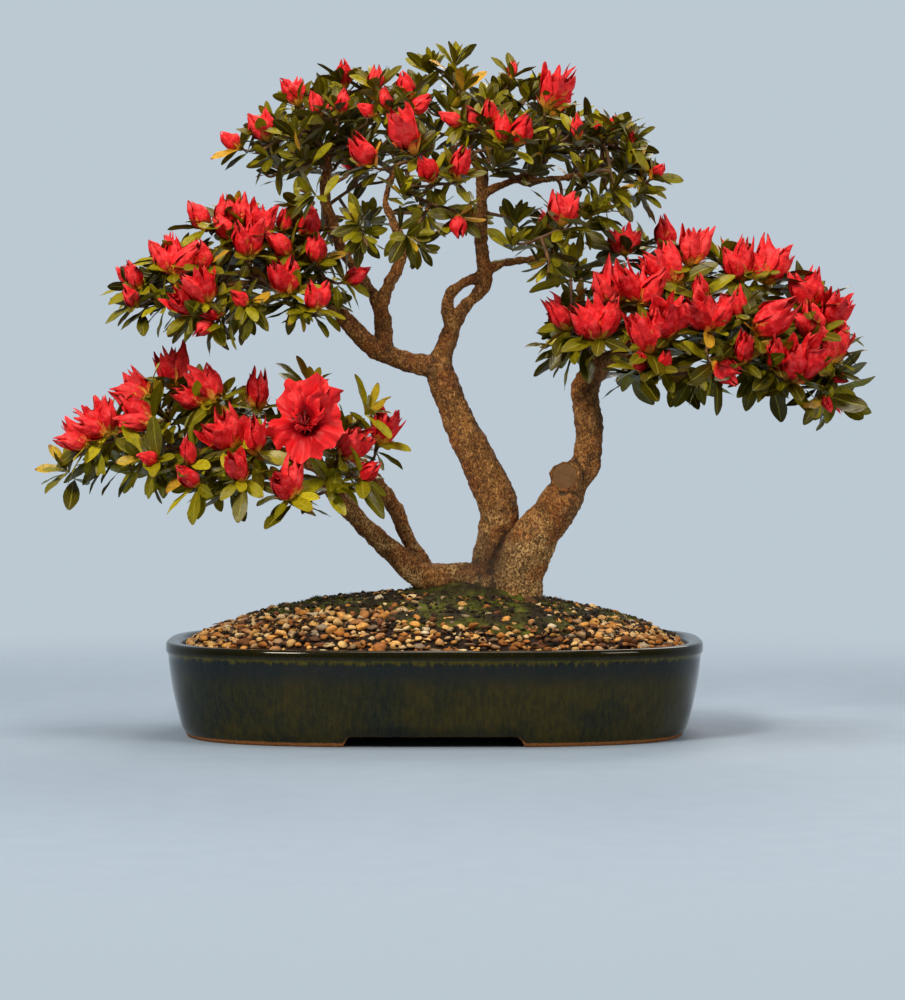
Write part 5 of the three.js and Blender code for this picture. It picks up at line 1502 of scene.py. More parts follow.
@dataclass
class Wood:
    """The three trunks, their limbs and the scars of old cuts. Lengths in millimetres.

    A swell of the bark is (scale per metre, detail, roughness, share).
    """

    voxel: float = 1.38
    steps: int = 5
    limb_sides: int = 20
    scar_sides: int = 28
    relax_share: float = 0.6
    relax_rounds: int = 5
    hollow_rounds: int = 30
    swells: tuple[Four, ...] = ((48.0, 2.0, 0.5, 5.0), (120.0, 2.0, 0.5, 4.0), (330.0, 3.0, 0.6, 2.4))
    scars: tuple[Scar, ...] = (
        Scar((112, -12, 226), (-0.34, -0.9, 0.26), 14.0, 17),
        Scar((-3, 4, 322), (-0.6, -0.78, 0.1), 7.5, 13),
    )
    scar_shape: tuple[tuple[float, float], ...] = ((0.0, 1.0), (0.3, 1.0), (0.6, 1.02), (0.85, 1.06), (1.0, 0.94))
    root_levels: tuple[tuple[float, float], ...] = (
        (ROOT_BOTTOM, 1.0), (100, 0.99), (110, 0.95), (117, 0.85), (123, 0.72), (130, 0.56), (140, 0.4),
    )

    @staticmethod
    def _limb(form: Form, path: Sequence[Vector], radii: Sequence[float], sides: int) -> None:
        """Adds one closed round limb along a path.

        Args:
            form: What it is added to.
            path: Its points.
            radii: Its radius at each of them.
            sides: How many sides it has.
        """
        rings = []
        side = Vector((0, 1, 0))
        for i, point in enumerate(path):
            ahead = (path[min(i + 1, len(path) - 1)] - path[max(i - 1, 0)]).normalized()
            if abs(side.dot(ahead)) > 0.95:
                side = Vector((1, 0, 0))
            side = (side - ahead * side.dot(ahead)).normalized()
            rings.append((point, side.copy(), ahead.cross(side)))

        def at(across: float, along: float) -> Vector:
            """A point of the limb."""
            i = round(along * (len(path) - 1))
            point, a, b = rings[i]
            angle = FULL_TURN * across
            lobes = 1 + 0.05 * sin(3 * angle + 0.09 * i) + 0.03 * sin(5 * angle - 0.2 * i)
            return (point + (a * cos(angle) + b * sin(angle)) * radii[i] * lobes) * MM

        form.sheet(len(path) - 1, sides, at, closed=True, capped=True)

    def _rough(self) -> Shaper:
        """Geometry nodes that swell and pit the wood along its normals.

        Returns:
            The node tree.
        """
        tree = Shaper("bark_relief", Depth="Float")
        solid, depth = tree.given
        place = tree.node("GeometryNodeInputPosition")
        normal = tree.node("GeometryNodeInputNormal")
        rise = 0.0
        for scale, detail, rough, share in self.swells:
            sockets = {"Vector": place, "Scale": scale, "Detail": detail, "Roughness": rough}
            rise = rise + (tree.node("ShaderNodeTexNoise", None, sockets) - 0.5) * share
        sockets = {"Geometry": solid, "Offset": tree.scaled(normal, rise * depth)}
        moved = tree.node("GeometryNodeSetPosition", None, sockets)
        # How far each point lies in a hollow, kept for the bark's painted shade.
        sockets = {"Value": place, "Iterations": self.hollow_rounds}
        even = tree.node("GeometryNodeBlurAttribute", {"data_type": "FLOAT_VECTOR"}, sockets)
        hollow = tree.vector("DOT_PRODUCT", tree.vector("SUBTRACT", even, place), normal, "Value") / depth
        stored = {"data_type": "FLOAT", "domain": "POINT"}
        sockets = {"Geometry": moved, "Name": "hollow", "Value": hollow}
        tree.end(tree.node("GeometryNodeStoreNamedAttribute", stored, sockets))
        return tree

    def build(self) -> None:
        """Makes the wood in one piece."""
        form = Form()
        for stations in LIMBS.values():
            path = smooth_path([Vector(station[:3]) for station in stations], self.steps)
            width = smooth_path([Vector((station[3], 0, 0)) for station in stations], self.steps)
            self._limb(form, path, [w.x for w in width], self.limb_sides)
        for scar in self.scars:
            path = [scar.at(share) for share, _ in self.scar_shape]
            self._limb(form, path, [scar.radius * wide for _, wide in self.scar_shape], self.scar_sides)
        self._roots(form)
        wood = form.made("wood")
        shell = wood.modifiers.new("shell", "REMESH")
        shell.mode = "VOXEL"
        shell.voxel_size = self.voxel * MM
        relax = wood.modifiers.new("relax", "SMOOTH")
        relax.factor = self.relax_share
        relax.iterations = self.relax_rounds
        self._rough().put_on(wood, Depth=MM)
        settle(wood)
        wood.data.shade_smooth()
        wood.data.materials.clear()
        wood.data.materials.append(Bark(self.scars).material)
        hand_in(wood, Slot.BARK, ["trunk"])

    def _roots(self, form: Form) -> None:
        """Adds the flared foot of the trunks and the roots that run out under the gravel.

        Args:
            form: What they are added to.
        """
        last = len(self.root_levels) - 1

        def at(across: float, along: float) -> Vector:
            """A point of the foot."""
            z, share = self.root_levels[round(along * last)]
            angle = FULL_TURN * across
            ribs = 1 + 0.05 * sin(5 * angle + 1) + 0.035 * sin(9 * angle)
            x = ROOT_X + ROOT_HALF_WIDTH * share * ribs * cos(angle) * 0.97
            return Vector((x, ROOT_HALF_DEPTH * share * ribs * sin(angle) * 0.97, z)) * MM

        form.sheet(last, 48, at, closed=True, capped=True)


class LeafFinish(Paint):
    """Glossy olive blades with a paler midrib, some of them yellow-green or brown at the tip."""

    def __init__(self) -> None:
        """Lays the blade, its veins and rib, and the worn tip."""
        shine = {"Specular_IOR_Level": 0.27, "Subsurface_Weight": 0.1, "Subsurface_Radius": (0.003, 0.005, 0.001)}
        super().__init__("azalea_leaf", 0.4, **shine)
        tint, across, along = self.given("tint"), self.uv("X"), self.uv("Y")
        greens = (
            (0.0, 50, 42, 2), (0.3, 78, 72, 0), (0.55, 112, 106, 4), (0.78, 152, 144, 14), (0.92, 190, 180, 32),
            (1.0, 200, 152, 44),
        )
        base = self.ramp(tint, *greens)
        off = self.node("ShaderNodeMath", {"operation": "ABSOLUTE"}, {0: across - 0.5})
        rib = 1 - off.above(0.035, 0.025)
        veins = ((along * 8 + off * 5) * 6.283).wave()
        mottle = self.noise(260, 3)
        base = self.blend(mottle.above(0.58, 0.12) * 0.4, base, (50, 50, 2))
        base = self.blend(veins.above(0.8, 0.2) * 0.18, base, (150, 148, 40))
        base = self.blend(rib * 0.55, base, (166, 160, 54))
        worn = (along + mottle * 0.5 + tint * 0.35).above(1.42, 0.06)
        self.set("Base Color", self.blend(worn * 0.85, base, (142, 92, 44)))
        self.set("Roughness", mottle * 0.2 + 0.26)
        self.relief(1 - rib * 0.8 + veins * 0.12, 0.35, 0.0006)


@dataclass
class Growth:
    """A few shapes of one kind, leaves or buds, that grow at the end of every shoot."""

    scatter: Scatter
    kinds: int
    slot: Slot
    material: bpy.types.Material

    def form(self, kind: int) -> Form:
        """One of the shapes, of a unit's length along X."""
        raise NotImplementedError

    def build(self, name: str, copies: Sequence[Placed], nodes: Sequence[str]) -> None:
        """Makes one pad's leaves or buds.

        Args:
            name: The name of the piece.
            copies: Where each of them is.
            nodes: The solids that they stand for.
        """
        piece = self.scatter.spread(name, copies, [self.form(kind) for kind in range(self.kinds)], self.material)
        piece.data.shade_smooth()
        hand_in(piece, self.slot, nodes)


class Leaves(Growth):
    """Leaf shapes and their places in whorls."""

    usual_length = 36.0
    stations = (0.0, 0.07, 0.18, 0.34, 0.5, 0.66, 0.8, 0.91, 0.975, 1.0)
    under_buds = ((1.5, 7, 0.95, 1.6), (9.0, 3, 1.35, 2.0))
    open_tip = ((-0.5, 5, 0.35, 0.85), (3.0, 6, 0.9, 1.5), (11.0, 2, 1.4, 2.0))

    def __init__(self, scatter: Scatter) -> None:
        """Makes the finish once for all pads."""
        super().__init__(scatter, 6, Slot.LEAVES_AND_TWIGS, LeafFinish().material)

    def form(self, kind: int) -> Form:
        """One blade of a unit's length along X, facing up.

        Args:
            kind: Which of the blades.

        Returns:
            Its form.
        """
        draws = Draws(70 + kind)
        droop, fold = draws.between(0.05, 0.3), draws.between(0.05, 0.35)
        twist, wave, wide = draws.between(-0.35, 0.35), draws.between(0.0, 0.03), draws.between(0.15, 0.195)
        form = Form()
        last = len(self.stations) - 1

        def at(across: float, along: float) -> Vector:
            """A point of the blade."""
            t, s = self.stations[round(along * last)], 2 * across - 1
            half = max(wide * sin(pi * (0.02 + 0.975 * t) ** 1.42) ** 0.66, 0.012)
            lift = 0.1 * t - droop * t * t * 1.2 + fold * abs(s) * half - 0.35 * fold * s * s * half
            lift += wave * sin(14 * t + 2 * s)
            y = s * half
            return Vector((t, y * cos(twist * t), lift + y * sin(twist * t)))

        form.sheet(last, 4, at, flip=True)
        return form

    def at_shoot(self, shoot: Shoot, pad: Pad, draws: Draws) -> list[Placed]:
        """The whorls of leaves at the end of a shoot: (place back from the tip, leaves, least and most opening).

        Args:
            shoot: The shoot.
            pad: The pad that it is in.
            draws: Where the draws come from.

        Returns:
            The leaves.
        """
        axis = shoot.along
        side = axis.orthogonal().normalized()
        other = axis.cross(side)
        leaves = []
        start = draws.angle()
        sunk = 0.0 if shoot.buds else 13.0
        raised = pad.upright * min(1.0, max(0.0, axis.z * 1.6 - 0.5))
        for back, count, least, most in self.under_buds if shoot.buds else self.open_tip:
            start += 0.5
            for k in range(count):
                angle = start + FULL_TURN * k / count + draws.between(-0.25, 0.25)
                opening = draws.between(least, most) * (1 - 0.55 * raised)
                out = side * cos(angle) + other * sin(angle)
                along = axis * cos(opening) + out * sin(opening)
                along.z -= 0.3 * (1 - raised)
                along.normalize()
                up = axis * 0.7 + UP * 0.5 - out * 0.1 + out.cross(axis) * draws.between(-0.9, 0.9)
                length = self.usual_length * pad.leaf_length * draws.between(0.72, 1.1) * (0.72 if back < 0 else 1)
                at = shoot.tip - axis * (back + sunk + draws.between(-0.8, 0.8))
                tint = min(0.97, pad.light + draws.between(0, 0.75) + (0.2 if back < 2 and not shoot.buds else 0))
                tint = 1.0 if draws.next() < 0.035 else tint
                size = Vector((length, length * draws.between(0.9, 1.12), length)) * MM
                leaves.append(Placed(at * MM, facing(along, up), size, draws.whole(self.kinds), tint))
        return leaves


class TwigFinish(Paint):
    """Smooth young bark, red-brown to grey-brown."""

    def __init__(self) -> None:
        """Lays the bark."""
        super().__init__("young_bark", 0.7)
        self.set("Base Color", self.ramp(self.noise(150, 3), (0.3, 74, 48, 28), (0.7, 136, 98, 62)))
        self.relief(self.noise(900, 3), 0.5, 0.0005)


@dataclass
class Twigs:
    """The thin wood that joins each shoot to its pad's limbs. Lengths in millimetres."""

    stems: Stems
    tip_radius: float = 1.1
    foot_radius: float = 1.9
    steps: int = 8
    most_bend: float = 26.0

    def __post_init__(self) -> None:
        """Makes the finish once for all pads."""
        self.material = TwigFinish().material

    def build(self, name: str, pad: Pad, shoots: Sequence[Shoot]) -> None:
        """Grows one pad's twigs, each from the nearest wood that is already there.

        Args:
            name: The name of the piece.
            pad: The pad.
            shoots: The shoots that they lead to.
        """
        wood: list[tuple[Vector, float]] = []
        for limb in pad.limbs:
            stations = LIMBS[limb]
            path = smooth_path([Vector(station[:3]) for station in stations], 4)
            wood += [(point, 0.0) for point in path[len(path) // 3 :]]
        middle = Vector(pad.centre)
        chains = []
        for shoot in sorted(shoots, key=lambda s: min((s.tip - point).length for point, _ in wood)):
            costs = [(shoot.tip - point).length + reach + self._turned_back(shoot, point) for point, reach in wood]
            start, reach = wood[costs.index(min(costs))]
            span = (shoot.tip - start).length
            lift = (start - middle).normalized() * 0.08 * span + UP * 0.05 * span
            first = start + (shoot.tip - start) * 0.35 + lift
            second = shoot.tip - shoot.along * min(0.45 * span, self.most_bend)
            chain = []
            for step in range(self.steps + 1):
                t = step / self.steps
                u = 1 - t
                point = start * u**3 + first * 3 * u * u * t + second * 3 * u * t * t + shoot.tip * t**3
                radius = self.foot_radius + (self.tip_radius - self.foot_radius) * t
                chain.append((point * MM, radius * MM))
                if 2 <= step <= 6:
                    wood.append((point, reach + 6 + 8 * t))
            chains.append(chain)
        piece = self.stems.drawn(name, chains, self.material)
        piece.data.shade_smooth()
        hand_in(piece, Slot.LEAVES_AND_TWIGS)

    @staticmethod
    def _turned_back(shoot: Shoot, place: Vector) -> float:
        """What it costs a twig to reach a shoot from in front of it."""
        ahead = (shoot.tip - place).dot(shoot.along)
        return max(0.0, 8 - ahead) * 3


class PetalFinish(Paint):
    """Crimson petals with painted shade in their creases and on their inner rings, painted highlights on the raised
    creases and at the tips, and ochre bracts.
    """

    def __init__(self) -> None:
        """Lays the petals, their streaks, the painted shade and highlights of their creases, tips and inner rings, and
        the bracts.
        """
        shine = {"Specular_IOR_Level": 0.22, "Subsurface_Weight": 0.15, "Subsurface_Radius": (0.006, 0.001, 0.001)}
        super().__init__("red_petals", 0.6, **shine)
        tint, inner, along, across = self.given("tint"), self.given("inner"), self.uv("Y"), self.uv("X")
        base = self.ramp(tint, (0.0, 212, 16, 26), (0.35, 234, 26, 36), (0.75, 246, 38, 46), (1, 253, 58, 62))
        streak = (across * 17 + self.noise(70, 2) * 6).wave()
        crease = self.noise(150, 3, 0.55)
        base = self.blend(streak.above(0.6, 0.35) * 0.22, base, (166, 8, 18))
        # Painted shade in the low creases and painted highlight on the raised ones, where the relief rises.
        base = self.blend((1 - crease).above(0.55, 0.09) * 0.45, base, (156, 6, 14))
        base = self.blend(crease.above(0.57, 0.09) * 0.4, base, (253, 96, 100))
        # Painted highlight: paler pink at the tips of the petals.
        base = self.blend(along.above(0.94, 0.08) * 0.3, base, (252, 110, 108))
        base = self.blend((1 - along).above(0.82, 0.1) * 0.75, base, (206, 96, 40))
        # Painted shade on the inner rings of petals, by the share that each ring carries.
        base = self.blend(inner * 0.35, base, (176, 8, 24))
        ochres = ((0.3, 136, 120, 18), (0.5, 224, 158, 44), (0.8, 252, 172, 76), (1.2, 240, 112, 56))
        self.set("Base Color", self.blend(self.given("bract"), base, self.ramp(along + crease * 0.5, *ochres)))
        self.set("Roughness", crease * 0.2 + 0.46)
        self.relief(streak * 0.12 + crease * 1.2 + self.noise(520, 2) * 0.4, 0.6, 0.0022)


@dataclass(frozen=True)
class Ring:
    """One ring of petals in a bud of a unit's length.

    Its petals are bent by close, belly and flare, wrapped round each other, and spread to a half angle in radians.
    """

    count: int
    rows: int
    columns: int
    start: float
    reach: float
    foot: float
    belly: float
    spread: float
    close: float
    wrap: float
    flare: float
    # The share of painted shade that its petals get for lying inside the bud.
    inner: float


class Buds(Growth):
    """Half-open double flowers, each with bracts at its foot."""

    bracts: int = 6
    small: float = 30.0
    fan: float = 0.56

    def __init__(self, scatter: Scatter) -> None:
        """Makes the finish once for all pads."""
        super().__init__(scatter, 9, Slot.PETALS, PetalFinish().material)

    @staticmethod
    def _petal(form: Form, draws: Draws, turn: float, ring: Ring) -> None:
        """Adds one petal to a flower that grows along X.

        Args:
            form: The flower.
            draws: Where the draws come from.
            turn: Its angle round the flower.
            ring: The ring that it is in.
        """
        reach = ring.reach * draws.between(0.86, 1.04)
        flare = ring.flare * draws.between(-0.2, 1.7)
        lean, phase = draws.between(-0.25, 0.25), draws.angle()
        fold = draws.between(-0.04, 0.03)
        seed = draws.vector(0, 50)

        def at(across: float, along: float) -> Vector:
            """A point of the petal."""
            s, t = 2 * across - 1, along
            wide = ring.spread * min(1.0, 0.5 + 1.3 * t) * (1 - 0.62 * t**3)
            angle = turn + s * wide + (ring.wrap + lean) * t * t
            bulge = sin(pi * (0.05 + ring.close * t**0.78))
            r = ring.foot * (1 - t) + ring.belly * bulge * (1 + 0.17 * s) + flare * t**3
            r += fold * t * (1 - s * s) + 0.018 * t * sin(4 * s + phase)
            x = reach * (t - 0.24 * s * s * t**3) + 0.01 * sin(4 * s + 2 * phase) * t
            point = about_x(ring.start + x, r, angle)
            crumple = noise.noise_vector(point * 3.2 + seed) * 0.075 * t**0.8
            return point + crumple + noise.noise_vector(point * 8 + seed) * 0.035 * t * (1 - t * t)

        form.sheet(ring.rows, ring.columns, at, inner=ring.inner, bract=0.0)

    def _bract(self, form: Form, draws: Draws, k: int, opened: float) -> None:
        """Adds one bract at the foot of a flower.

        Args:
            form: The flower.
            draws: Where the draws come from.
            k: Which of the bracts.
            opened: How far the flower is open.
        """
        turn = FULL_TURN * k / self.bracts + draws.between(-0.2, 0.2)
        end = 0.05 if opened > 0.4 else -0.03
        long, wide = draws.between(0.28, 0.46) + (0.17 if opened < 0.4 else 0), draws.between(0.42, 0.6)

        def at(across: float, along: float) -> Vector:
            """A point at a share across and along the bract."""
            angle = turn + (2 * across - 1) * wide * (1 - along**3) + 0.2 * along
            return about_x(-0.09 + (long + 0.05) * along, 0.08 + 0.235 * sin(1.4 * along) + end * along**3, angle)

        form.sheet(4, 2, at, inner=0.0, bract=1.0)

    def form(self, kind: int) -> Form:
        """One bud of a unit's length along X.

        Args:
            kind: Which of the buds.

        Returns:
            Its form.
        """
        draws = Draws(300 + kind)
        form = Form()
        opened = kind / (self.kinds - 1)
        wrap = draws.between(0.5, 1.1) * (1 - 0.6 * opened)
        rings = (
            Ring(5, 8, 5, 0.02, 1.0, 0.05, 0.25, 1.0, 0.91 - 0.14 * opened, wrap, flare=0.17 * opened, inner=0.0),
            Ring(3, 6, 6, 0.12, 0.76, 0.05, 0.18, 1.35, 0.92 - 0.14 * opened, wrap, flare=0.14 * opened, inner=0.35),
            Ring(3, 4, 3, 0.34, 0.4, 0.04, 0.1, 1.3, 0.88, wrap, flare=0.1 * opened, inner=1.0),
        )
        start = draws.angle()
        for ring in rings:
            start += 0.6
            for k in range(ring.count):
                self._petal(form, draws, start + FULL_TURN * k / ring.count + draws.between(-0.12, 0.12), ring)
        for k in range(self.bracts):
            self._bract(form, draws, k, opened)
        return form

    def at_shoot(self, shoot: Shoot, draws: Draws) -> list[Placed]:
        """The buds at the end of a shoot, fanned out where there are two or three.

        Args:
            shoot: The shoot.
            draws: Where the draws come from.

        Returns:
            The buds.
        """
        side = shoot.along.cross(Vector((0, -1, 0)))
        side = side.normalized() if side.length > 0.1 else shoot.along.orthogonal().normalized()
        other = shoot.along.cross(side)
        is_small = shoot.length < self.small
        placed = []
        for k in range(shoot.buds):
            fan = (k - (shoot.buds - 1) / 2) * (self.fan if shoot.buds > 1 else 0) + draws.between(-0.08, 0.08)
            tip_over = draws.between(-0.2, 0.25) + (0.3 if k % 2 else -0.1) * (shoot.buds > 1)
            way = (shoot.along + side * math.tan(fan) + other * tip_over).normalized()
            length = shoot.length * draws.between(0.92, 1.14)
            wide = length * (draws.between(0.8, 1.0) + (0.12 if is_small else 0))
            turn = facing(way, draws.vector(-1, 1))
            kind = draws.whole(4) if is_small else 1 + draws.whole(self.kinds - 1)
            at = (shoot.tip - shoot.along * 1.0) * MM
            placed.append(Placed(at, turn, Vector((length, wide, wide)) * MM, kind, draws.next()))
        return placed


class OpenPetalFinish(Paint):
    """Bright crimson lobes, a deeper red towards the throat with near-black painted shade deep inside it, and fine
    veins.
    """

    def __init__(self) -> None:
        """Lays the lobes and their veins, then the stamens."""
        shine = {"Specular_IOR_Level": 0.25, "Subsurface_Weight": 0.15, "Subsurface_Radius": (0.008, 0.001, 0.001)}
        super().__init__("open_petals", 0.5, **shine)
        along, across, depth = self.uv("Y"), self.uv("X"), self.given("inner")
        # Darker towards the throat: a deeper red, then near-black painted shade deep in the throat.
        base = self.ramp(along, (0.2, 60, 0, 4), (0.5, 150, 4, 14), (0.72, 220, 16, 28), (1, 250, 50, 54))
        veins = (across * 200 + self.noise(160, 2) * 5).wave()
        base = self.blend(veins.above(0.6, 0.35) * 0.2, base, (160, 6, 28))
        base = self.blend(depth.above(0.9, 0.05), base, (232, 84, 90))
        self.set("Base Color", self.blend(depth.above(1.9, 0.05), base, (92, 44, 30)))
        self.relief(veins * 0.4 + self.noise(260, 3), 0.35, 0.0009)


@dataclass
class OpenBloom:
    """The one fully open flower, a ruffled double with stamens. Lengths in millimetres.

    A ring is (radius, height, ruffle, lift, inner share, how much shorter its lower lobes are).
    """

    lobes: int = 5
    stamens: int = 9
    columns: int = 96
    throat: float = 3.0
    rings: tuple[tuple[float, float, float, float, float, float], ...] = (
        (35.0, 20.0, 3.2, 8.0, 0.0, 0.0), (22.0, 27.0, 3.8, 20.0, 0.3, 0.6), (12.0, 26.0, 3.0, 20.0, 0.6, 0.55),
    )

    def __post_init__(self) -> None:
        """Finds where the flower stands and which way it faces."""
        pad = PADS[BLOOM_PAD]
        self.tip = seen(BLOOM_X, BLOOM_Z, pad.centre[1] - 0.7 * pad.half[1])
        self.turn = facing(BLOOM_FACING, Vector((0.1, 0, 1)))

    def _placed(self, point: Vector) -> Vector:
        """A point of the flower, in metres, where the flower stands."""
        return (self.tip + self.turn @ point) * MM

    def _ring(self, form: Form, i: int, phase: float) -> None:
        """Adds one ring of joined lobes.

        Args:
            form: The flower.
            i: Which of the rings.
            phase: Where its ruffles start.
        """
        radius, height, ruffle, lift, inner, shorter = self.rings[i]

        def at(across: float, along: float) -> Vector:
            """A point of the ring."""
            angle, t = FULL_TURN * across, along
            turned = 0.5 * self.lobes * (angle - 0.63 * (i + 1))
            upward = max(0.0, cos(angle - 0.2)) ** 2
            reach = radius * (0.68 + 0.32 * abs(cos(turned)) ** 0.6) * (1 - shorter * (1 - upward)) + lift * upward
            r = self.throat + (reach - self.throat) * t**1.9
            h = height * sin(0.5 * pi * min(1.0, 1.25 * t)) - (6.0 - 12.0 * upward) * t**4
            h += 4.0 * t**2 * sin(turned * 2 + 1.4)
            h += ruffle * t**5 * (sin(11 * angle + phase) + 0.6 * sin(19 * angle))
            r += 0.5 * ruffle * t**5 * cos(14 * angle + phase)
            spot = about_x(h, r, angle)
            crumple = noise.noise_vector(spot * 0.07 + Vector((9.0 * i, 0, 0))) * (3.0 + 7.0 * upward)
            spot += (crumple + noise.noise_vector(spot * 0.2) * 2.0) * t**1.5
            return self._placed(Vector((spot.x, spot.z, spot.y)))

        first = len(form.points)
        form.sheet(14, self.columns, at, closed=True, inner=inner)
        form.faces.append(tuple(range(first, first + self.columns)))

    def _stamen(self, form: Form, angle: float, splay: float, long: float) -> None:
        """Adds one stamen, a thin stem with its small head.

        Args:
            form: The flower.
            angle: Its angle round the throat.
            splay: How far its end leans out.
            long: Its length.
        """
        for rows, thick, low, high, inner in ((6, 0.45, 0.0, 1.0, 1.0), (4, 1.0, 0.97, 1.05, 2.0)):

            def at(across: float, along: float) -> Vector:
                """A point at a share round and along the stem or head."""
                t = low + (high - low) * along
                r = thick * sin(pi * (0.15 + 0.8 * along)) if inner > 1.5 else thick
                return self._placed(about_x(4 + long * t, splay * t * t, angle) + about_x(0, r, FULL_TURN * across))

            form.sheet(rows, 6, at, closed=True, capped=True, inner=inner)

    def build(self, nodes: Sequence[str]) -> None:
        """Makes the flower where the photograph shows it.

        Args:
            nodes: The solids that it stands for.
        """
        draws = Draws(77)
        form = Form()
        for i in range(len(self.rings)):
            self._ring(form, i, draws.angle())
        for k in range(self.stamens):
            angle = FULL_TURN * k / self.stamens + draws.between(-0.2, 0.2)
            self._stamen(form, angle, draws.between(2.5, 7.5), draws.between(28, 36))
        hand_in(form.made("open_bloom", OpenPetalFinish().material, smooth=True), Slot.PETALS, nodes)


class PottingSoil(Paint):
    """Dark crumbly soil."""

    def __init__(self) -> None:
        """Lays the crumbs."""
        super().__init__("potting_soil", 0.95)
        grain = self.noise(380, 5, 0.65)
        self.set("Base Color", self.ramp(grain, (0.35, 34, 24, 16), (0.6, 78, 56, 36), (0.75, 128, 98, 66)))
        self.relief(grain, 0.8, 0.002)


class DrainMesh(Paint):
    """Dark plastic mesh."""

    def __init__(self) -> None:
        """Lays the plastic."""
        super().__init__("drain_mesh", 0.6)
        self.set("Base Color", self.ramp(self.noise(300, 2), (0.3, 24, 28, 26), (0.7, 52, 56, 50)))
        self.relief(self.noise(700, 2), 0.3, 0.0003)


class Hidden:
    """What the frame keeps as it is: the potting soil and the mesh over the drain holes."""

    def build(self) -> None:
        """Gives the kept solids their finishes."""
        soil, mesh = PottingSoil().material, DrainMesh().material
        for name, finish in (("soil", soil), ("drain_screen_left", mesh), ("drain_screen_right", mesh)):
            node = bpy.data.objects[name]
            if not node.material_slots:
                node.data.materials.append(finish)
            for slot in node.material_slots:
                slot.material = finish


class PaleFloor(Paint):
    """A pale blue-grey floor that is see-through towards its edge."""

    def __init__(self) -> None:
        """Lays the floor and its fading edge."""
        super().__init__("studio_floor", 0.7)
        away = self.node("ShaderNodeVectorMath", {"operation": "LENGTH"}, {0: self.place()}, "Value")
        self.set("Base Color", self.ramp(self.noise(30, 2), (0.3, 144, 162, 184), (0.7, 148, 166, 188)))
        self.set("Alpha", 1 - away.above(0.95, 0.5))


@dataclass(frozen=True)
class Lamp:
    """A soft square lamp: its place, the point that it faces and its width in metres, its power and its colour."""

    name: str
    place: Three
    target: Three
    width: float
    watts: float
    colour: Three


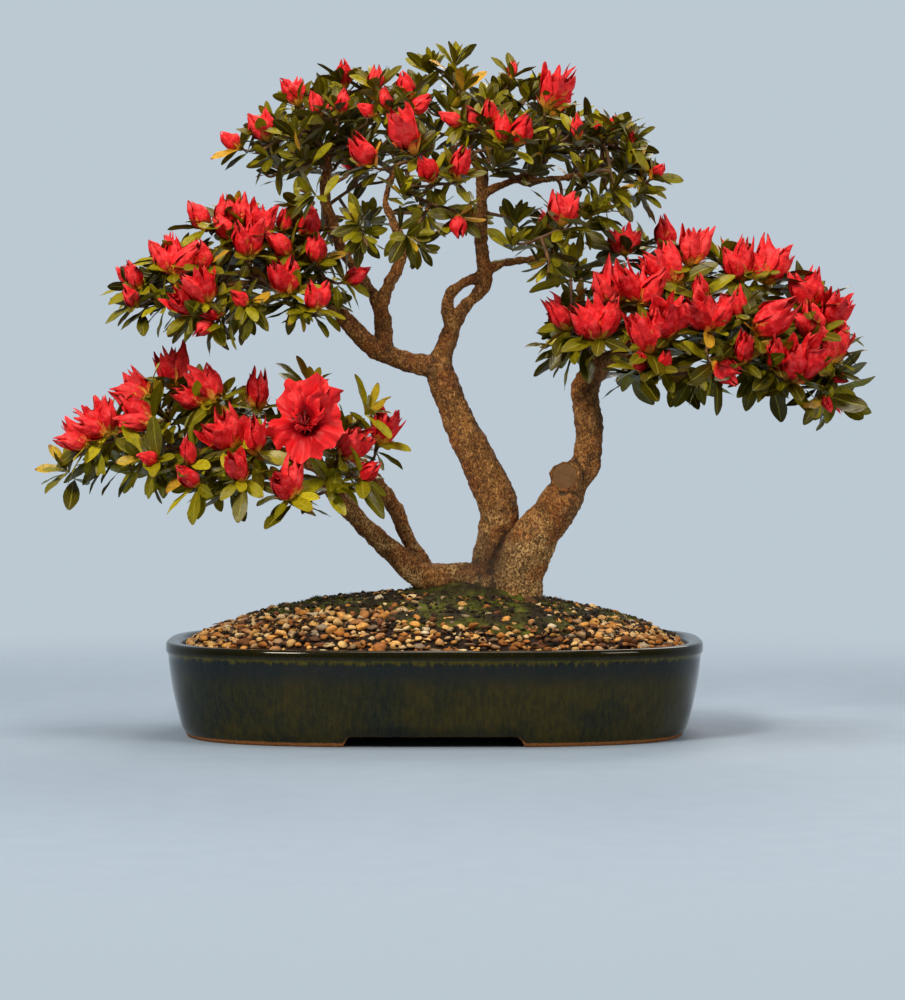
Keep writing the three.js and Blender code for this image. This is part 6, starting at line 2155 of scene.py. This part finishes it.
@dataclass
class Studio:
    """A pale floor that fades into the backdrop, soft lights and the camera. Lengths in metres."""

    backdrop: Three = (188, 201, 211)
    room: Three = (214, 202, 184)
    light_behind: float = 0.72
    light_ahead: float = 0.16
    floor_radius: float = 2.4
    sensor_width: float = 36.0
    sight_end: float = 50.0
    lamps: tuple[Lamp, ...] = (
        Lamp("key", (-1.4, -2.0, 2.0), (0, 0, 0.3), 0.7, 76, (1, 0.9, 0.75)),
        Lamp("fill", (1.9, -1.6, 1.2), (0, 0, 0.25), 0.9, 24, (1, 0.91, 0.78)),
        Lamp("back", (0.5, 1.9, 1.7), (0, 0, 0.35), 1.3, 24, (1, 0.93, 0.82)),
        Lamp("top", (0.1, -0.2, 2.3), (0, 0, 0.3), 1.0, 24, (1, 0.92, 0.8)),
    )

    def floor(self) -> None:
        """Makes the floor, a disc."""
        form = Form()
        wide = self.floor_radius
        form.sheet(12, 64, lambda across, along: about_z(wide * (1 - along) + 0.001, FULL_TURN * across), closed=True)
        form.made("studio_floor", PaleFloor().material)

    def lights(self) -> None:
        """Hangs the lamps above, on the left, on the right and behind."""
        for lamp in self.lamps:
            light = bpy.data.lights.new(lamp.name, "AREA")
            light.shape = "SQUARE"
            light.size = lamp.width
            light.energy = lamp.watts
            light.color = lamp.colour
            held = placed_object(lamp.name, light)
            held.location = lamp.place
            way = Vector(lamp.target) - Vector(lamp.place)
            held.rotation_euler = way.to_track_quat("-Z", "Y").to_euler()
            held.visible_camera = False

    def world(self) -> None:
        """A plain backdrop that is seen at full strength and lights the plant more weakly."""
        scene = bpy.context.scene
        scene.view_settings.view_transform = "Standard"
        scene.world = bpy.data.worlds.new("backdrop")
        scene.world.use_nodes = True
        tree = Tree(scene.world.node_tree)
        shade = next(n for n in scene.world.node_tree.nodes if n.type == "BACKGROUND")
        straight = tree.node("ShaderNodeLightPath", output="Is Camera Ray")
        way = tree.node("ShaderNodeTexCoord", output="Generated")
        behind = tree.node("ShaderNodeSeparateXYZ", None, {"Vector": way}, "Y").above(0.0, 0.35)
        pale = straight + (1 - straight) * behind
        colours = {0: pale, 6: paint(*self.room), 7: paint(*self.backdrop)}
        tree.feed(shade.inputs["Color"], tree.node("ShaderNodeMix", {"data_type": "RGBA"}, colours, 2))
        light = behind * (self.light_behind - self.light_ahead) + self.light_ahead
        tree.feed(shade.inputs["Strength"], straight + (1 - straight) * light)

    def camera(self) -> None:
        """The camera at the photograph's place."""
        lens = bpy.data.cameras.new("front")
        lens.sensor_width = self.sensor_width
        lens.lens = SIGHT_LENS
        lens.clip_end = self.sight_end
        camera = placed_object("front", lens)
        camera.location = (SIGHT_X * MM, -SIGHT_DISTANCE * MM, SIGHT_HEIGHT * MM)
        camera.rotation_euler = (math.radians(90 - SIGHT_TILT), 0, 0)
        bpy.context.scene.camera = camera

    def build(self) -> None:
        """Sets the studio up."""
        self.floor()
        self.lights()
        self.world()
        self.camera()


def main() -> None:
    """Builds the plant and the studio."""
    logging.basicConfig(level=logging.INFO, format="%(name)s: %(message)s")
    noise.seed_set(NOISE_SEED)
    Studio().build()
    scatter = Scatter()
    Hidden().build()
    Pot().build()
    ground = Ground(scatter)
    ground.gravel()
    ground.mosses()
    ground.scraps()
    Wood().build()
    leaves, buds, twigs = Leaves(scatter), Buds(scatter), Twigs(Stems(6))
    names = list(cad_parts)
    for key, pad in PADS.items():
        shoots = shoots_of(pad)
        fillers = filling_shoots(pad, 0.15) + tuft_shoots(pad)
        bare = filling_shoots(pad, 0.0)
        flowers = [name for name in names if name.startswith(f"flowers_{key}")]
        sprays = [name for name in names if name.startswith(f"spray_{key}")]
        opened = [name for name in flowers if key == BLOOM_PAD and holds_bloom(name)]
        closed = [name for name in flowers if name not in opened]
        draws = Draws(pad.seed + 1)
        green = [leaf for shoot in shoots + fillers for leaf in leaves.at_shoot(shoot, pad, draws)]
        leaves.build(f"{key}_leaves", green, sprays)
        draws = Draws(pad.seed + 2)
        red = [bud for shoot in shoots for bud in buds.at_shoot(shoot, draws)]
        buds.build(f"{key}_buds", red, closed)
        twigs.build(f"{key}_twigs", pad, shoots + fillers + bare)
        if opened:
            OpenBloom().build(opened)
        LOG.info("%s: %d shoots, %d leaves, %d buds", key, len(shoots), len(green), len(red))


def holds_bloom(name: str) -> bool:
    """Whether a flower solid is the open one, the widest of its pad."""
    low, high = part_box(name)
    wide, tall = high[0] - low[0], high[2] - low[2]
    return wide > BLOOM_LEAST_WIDE * BLOOM_HALF * MM and tall > BLOOM_LEAST_TALL * BLOOM_HALF * MM


if __name__ == "__main__":
    main()
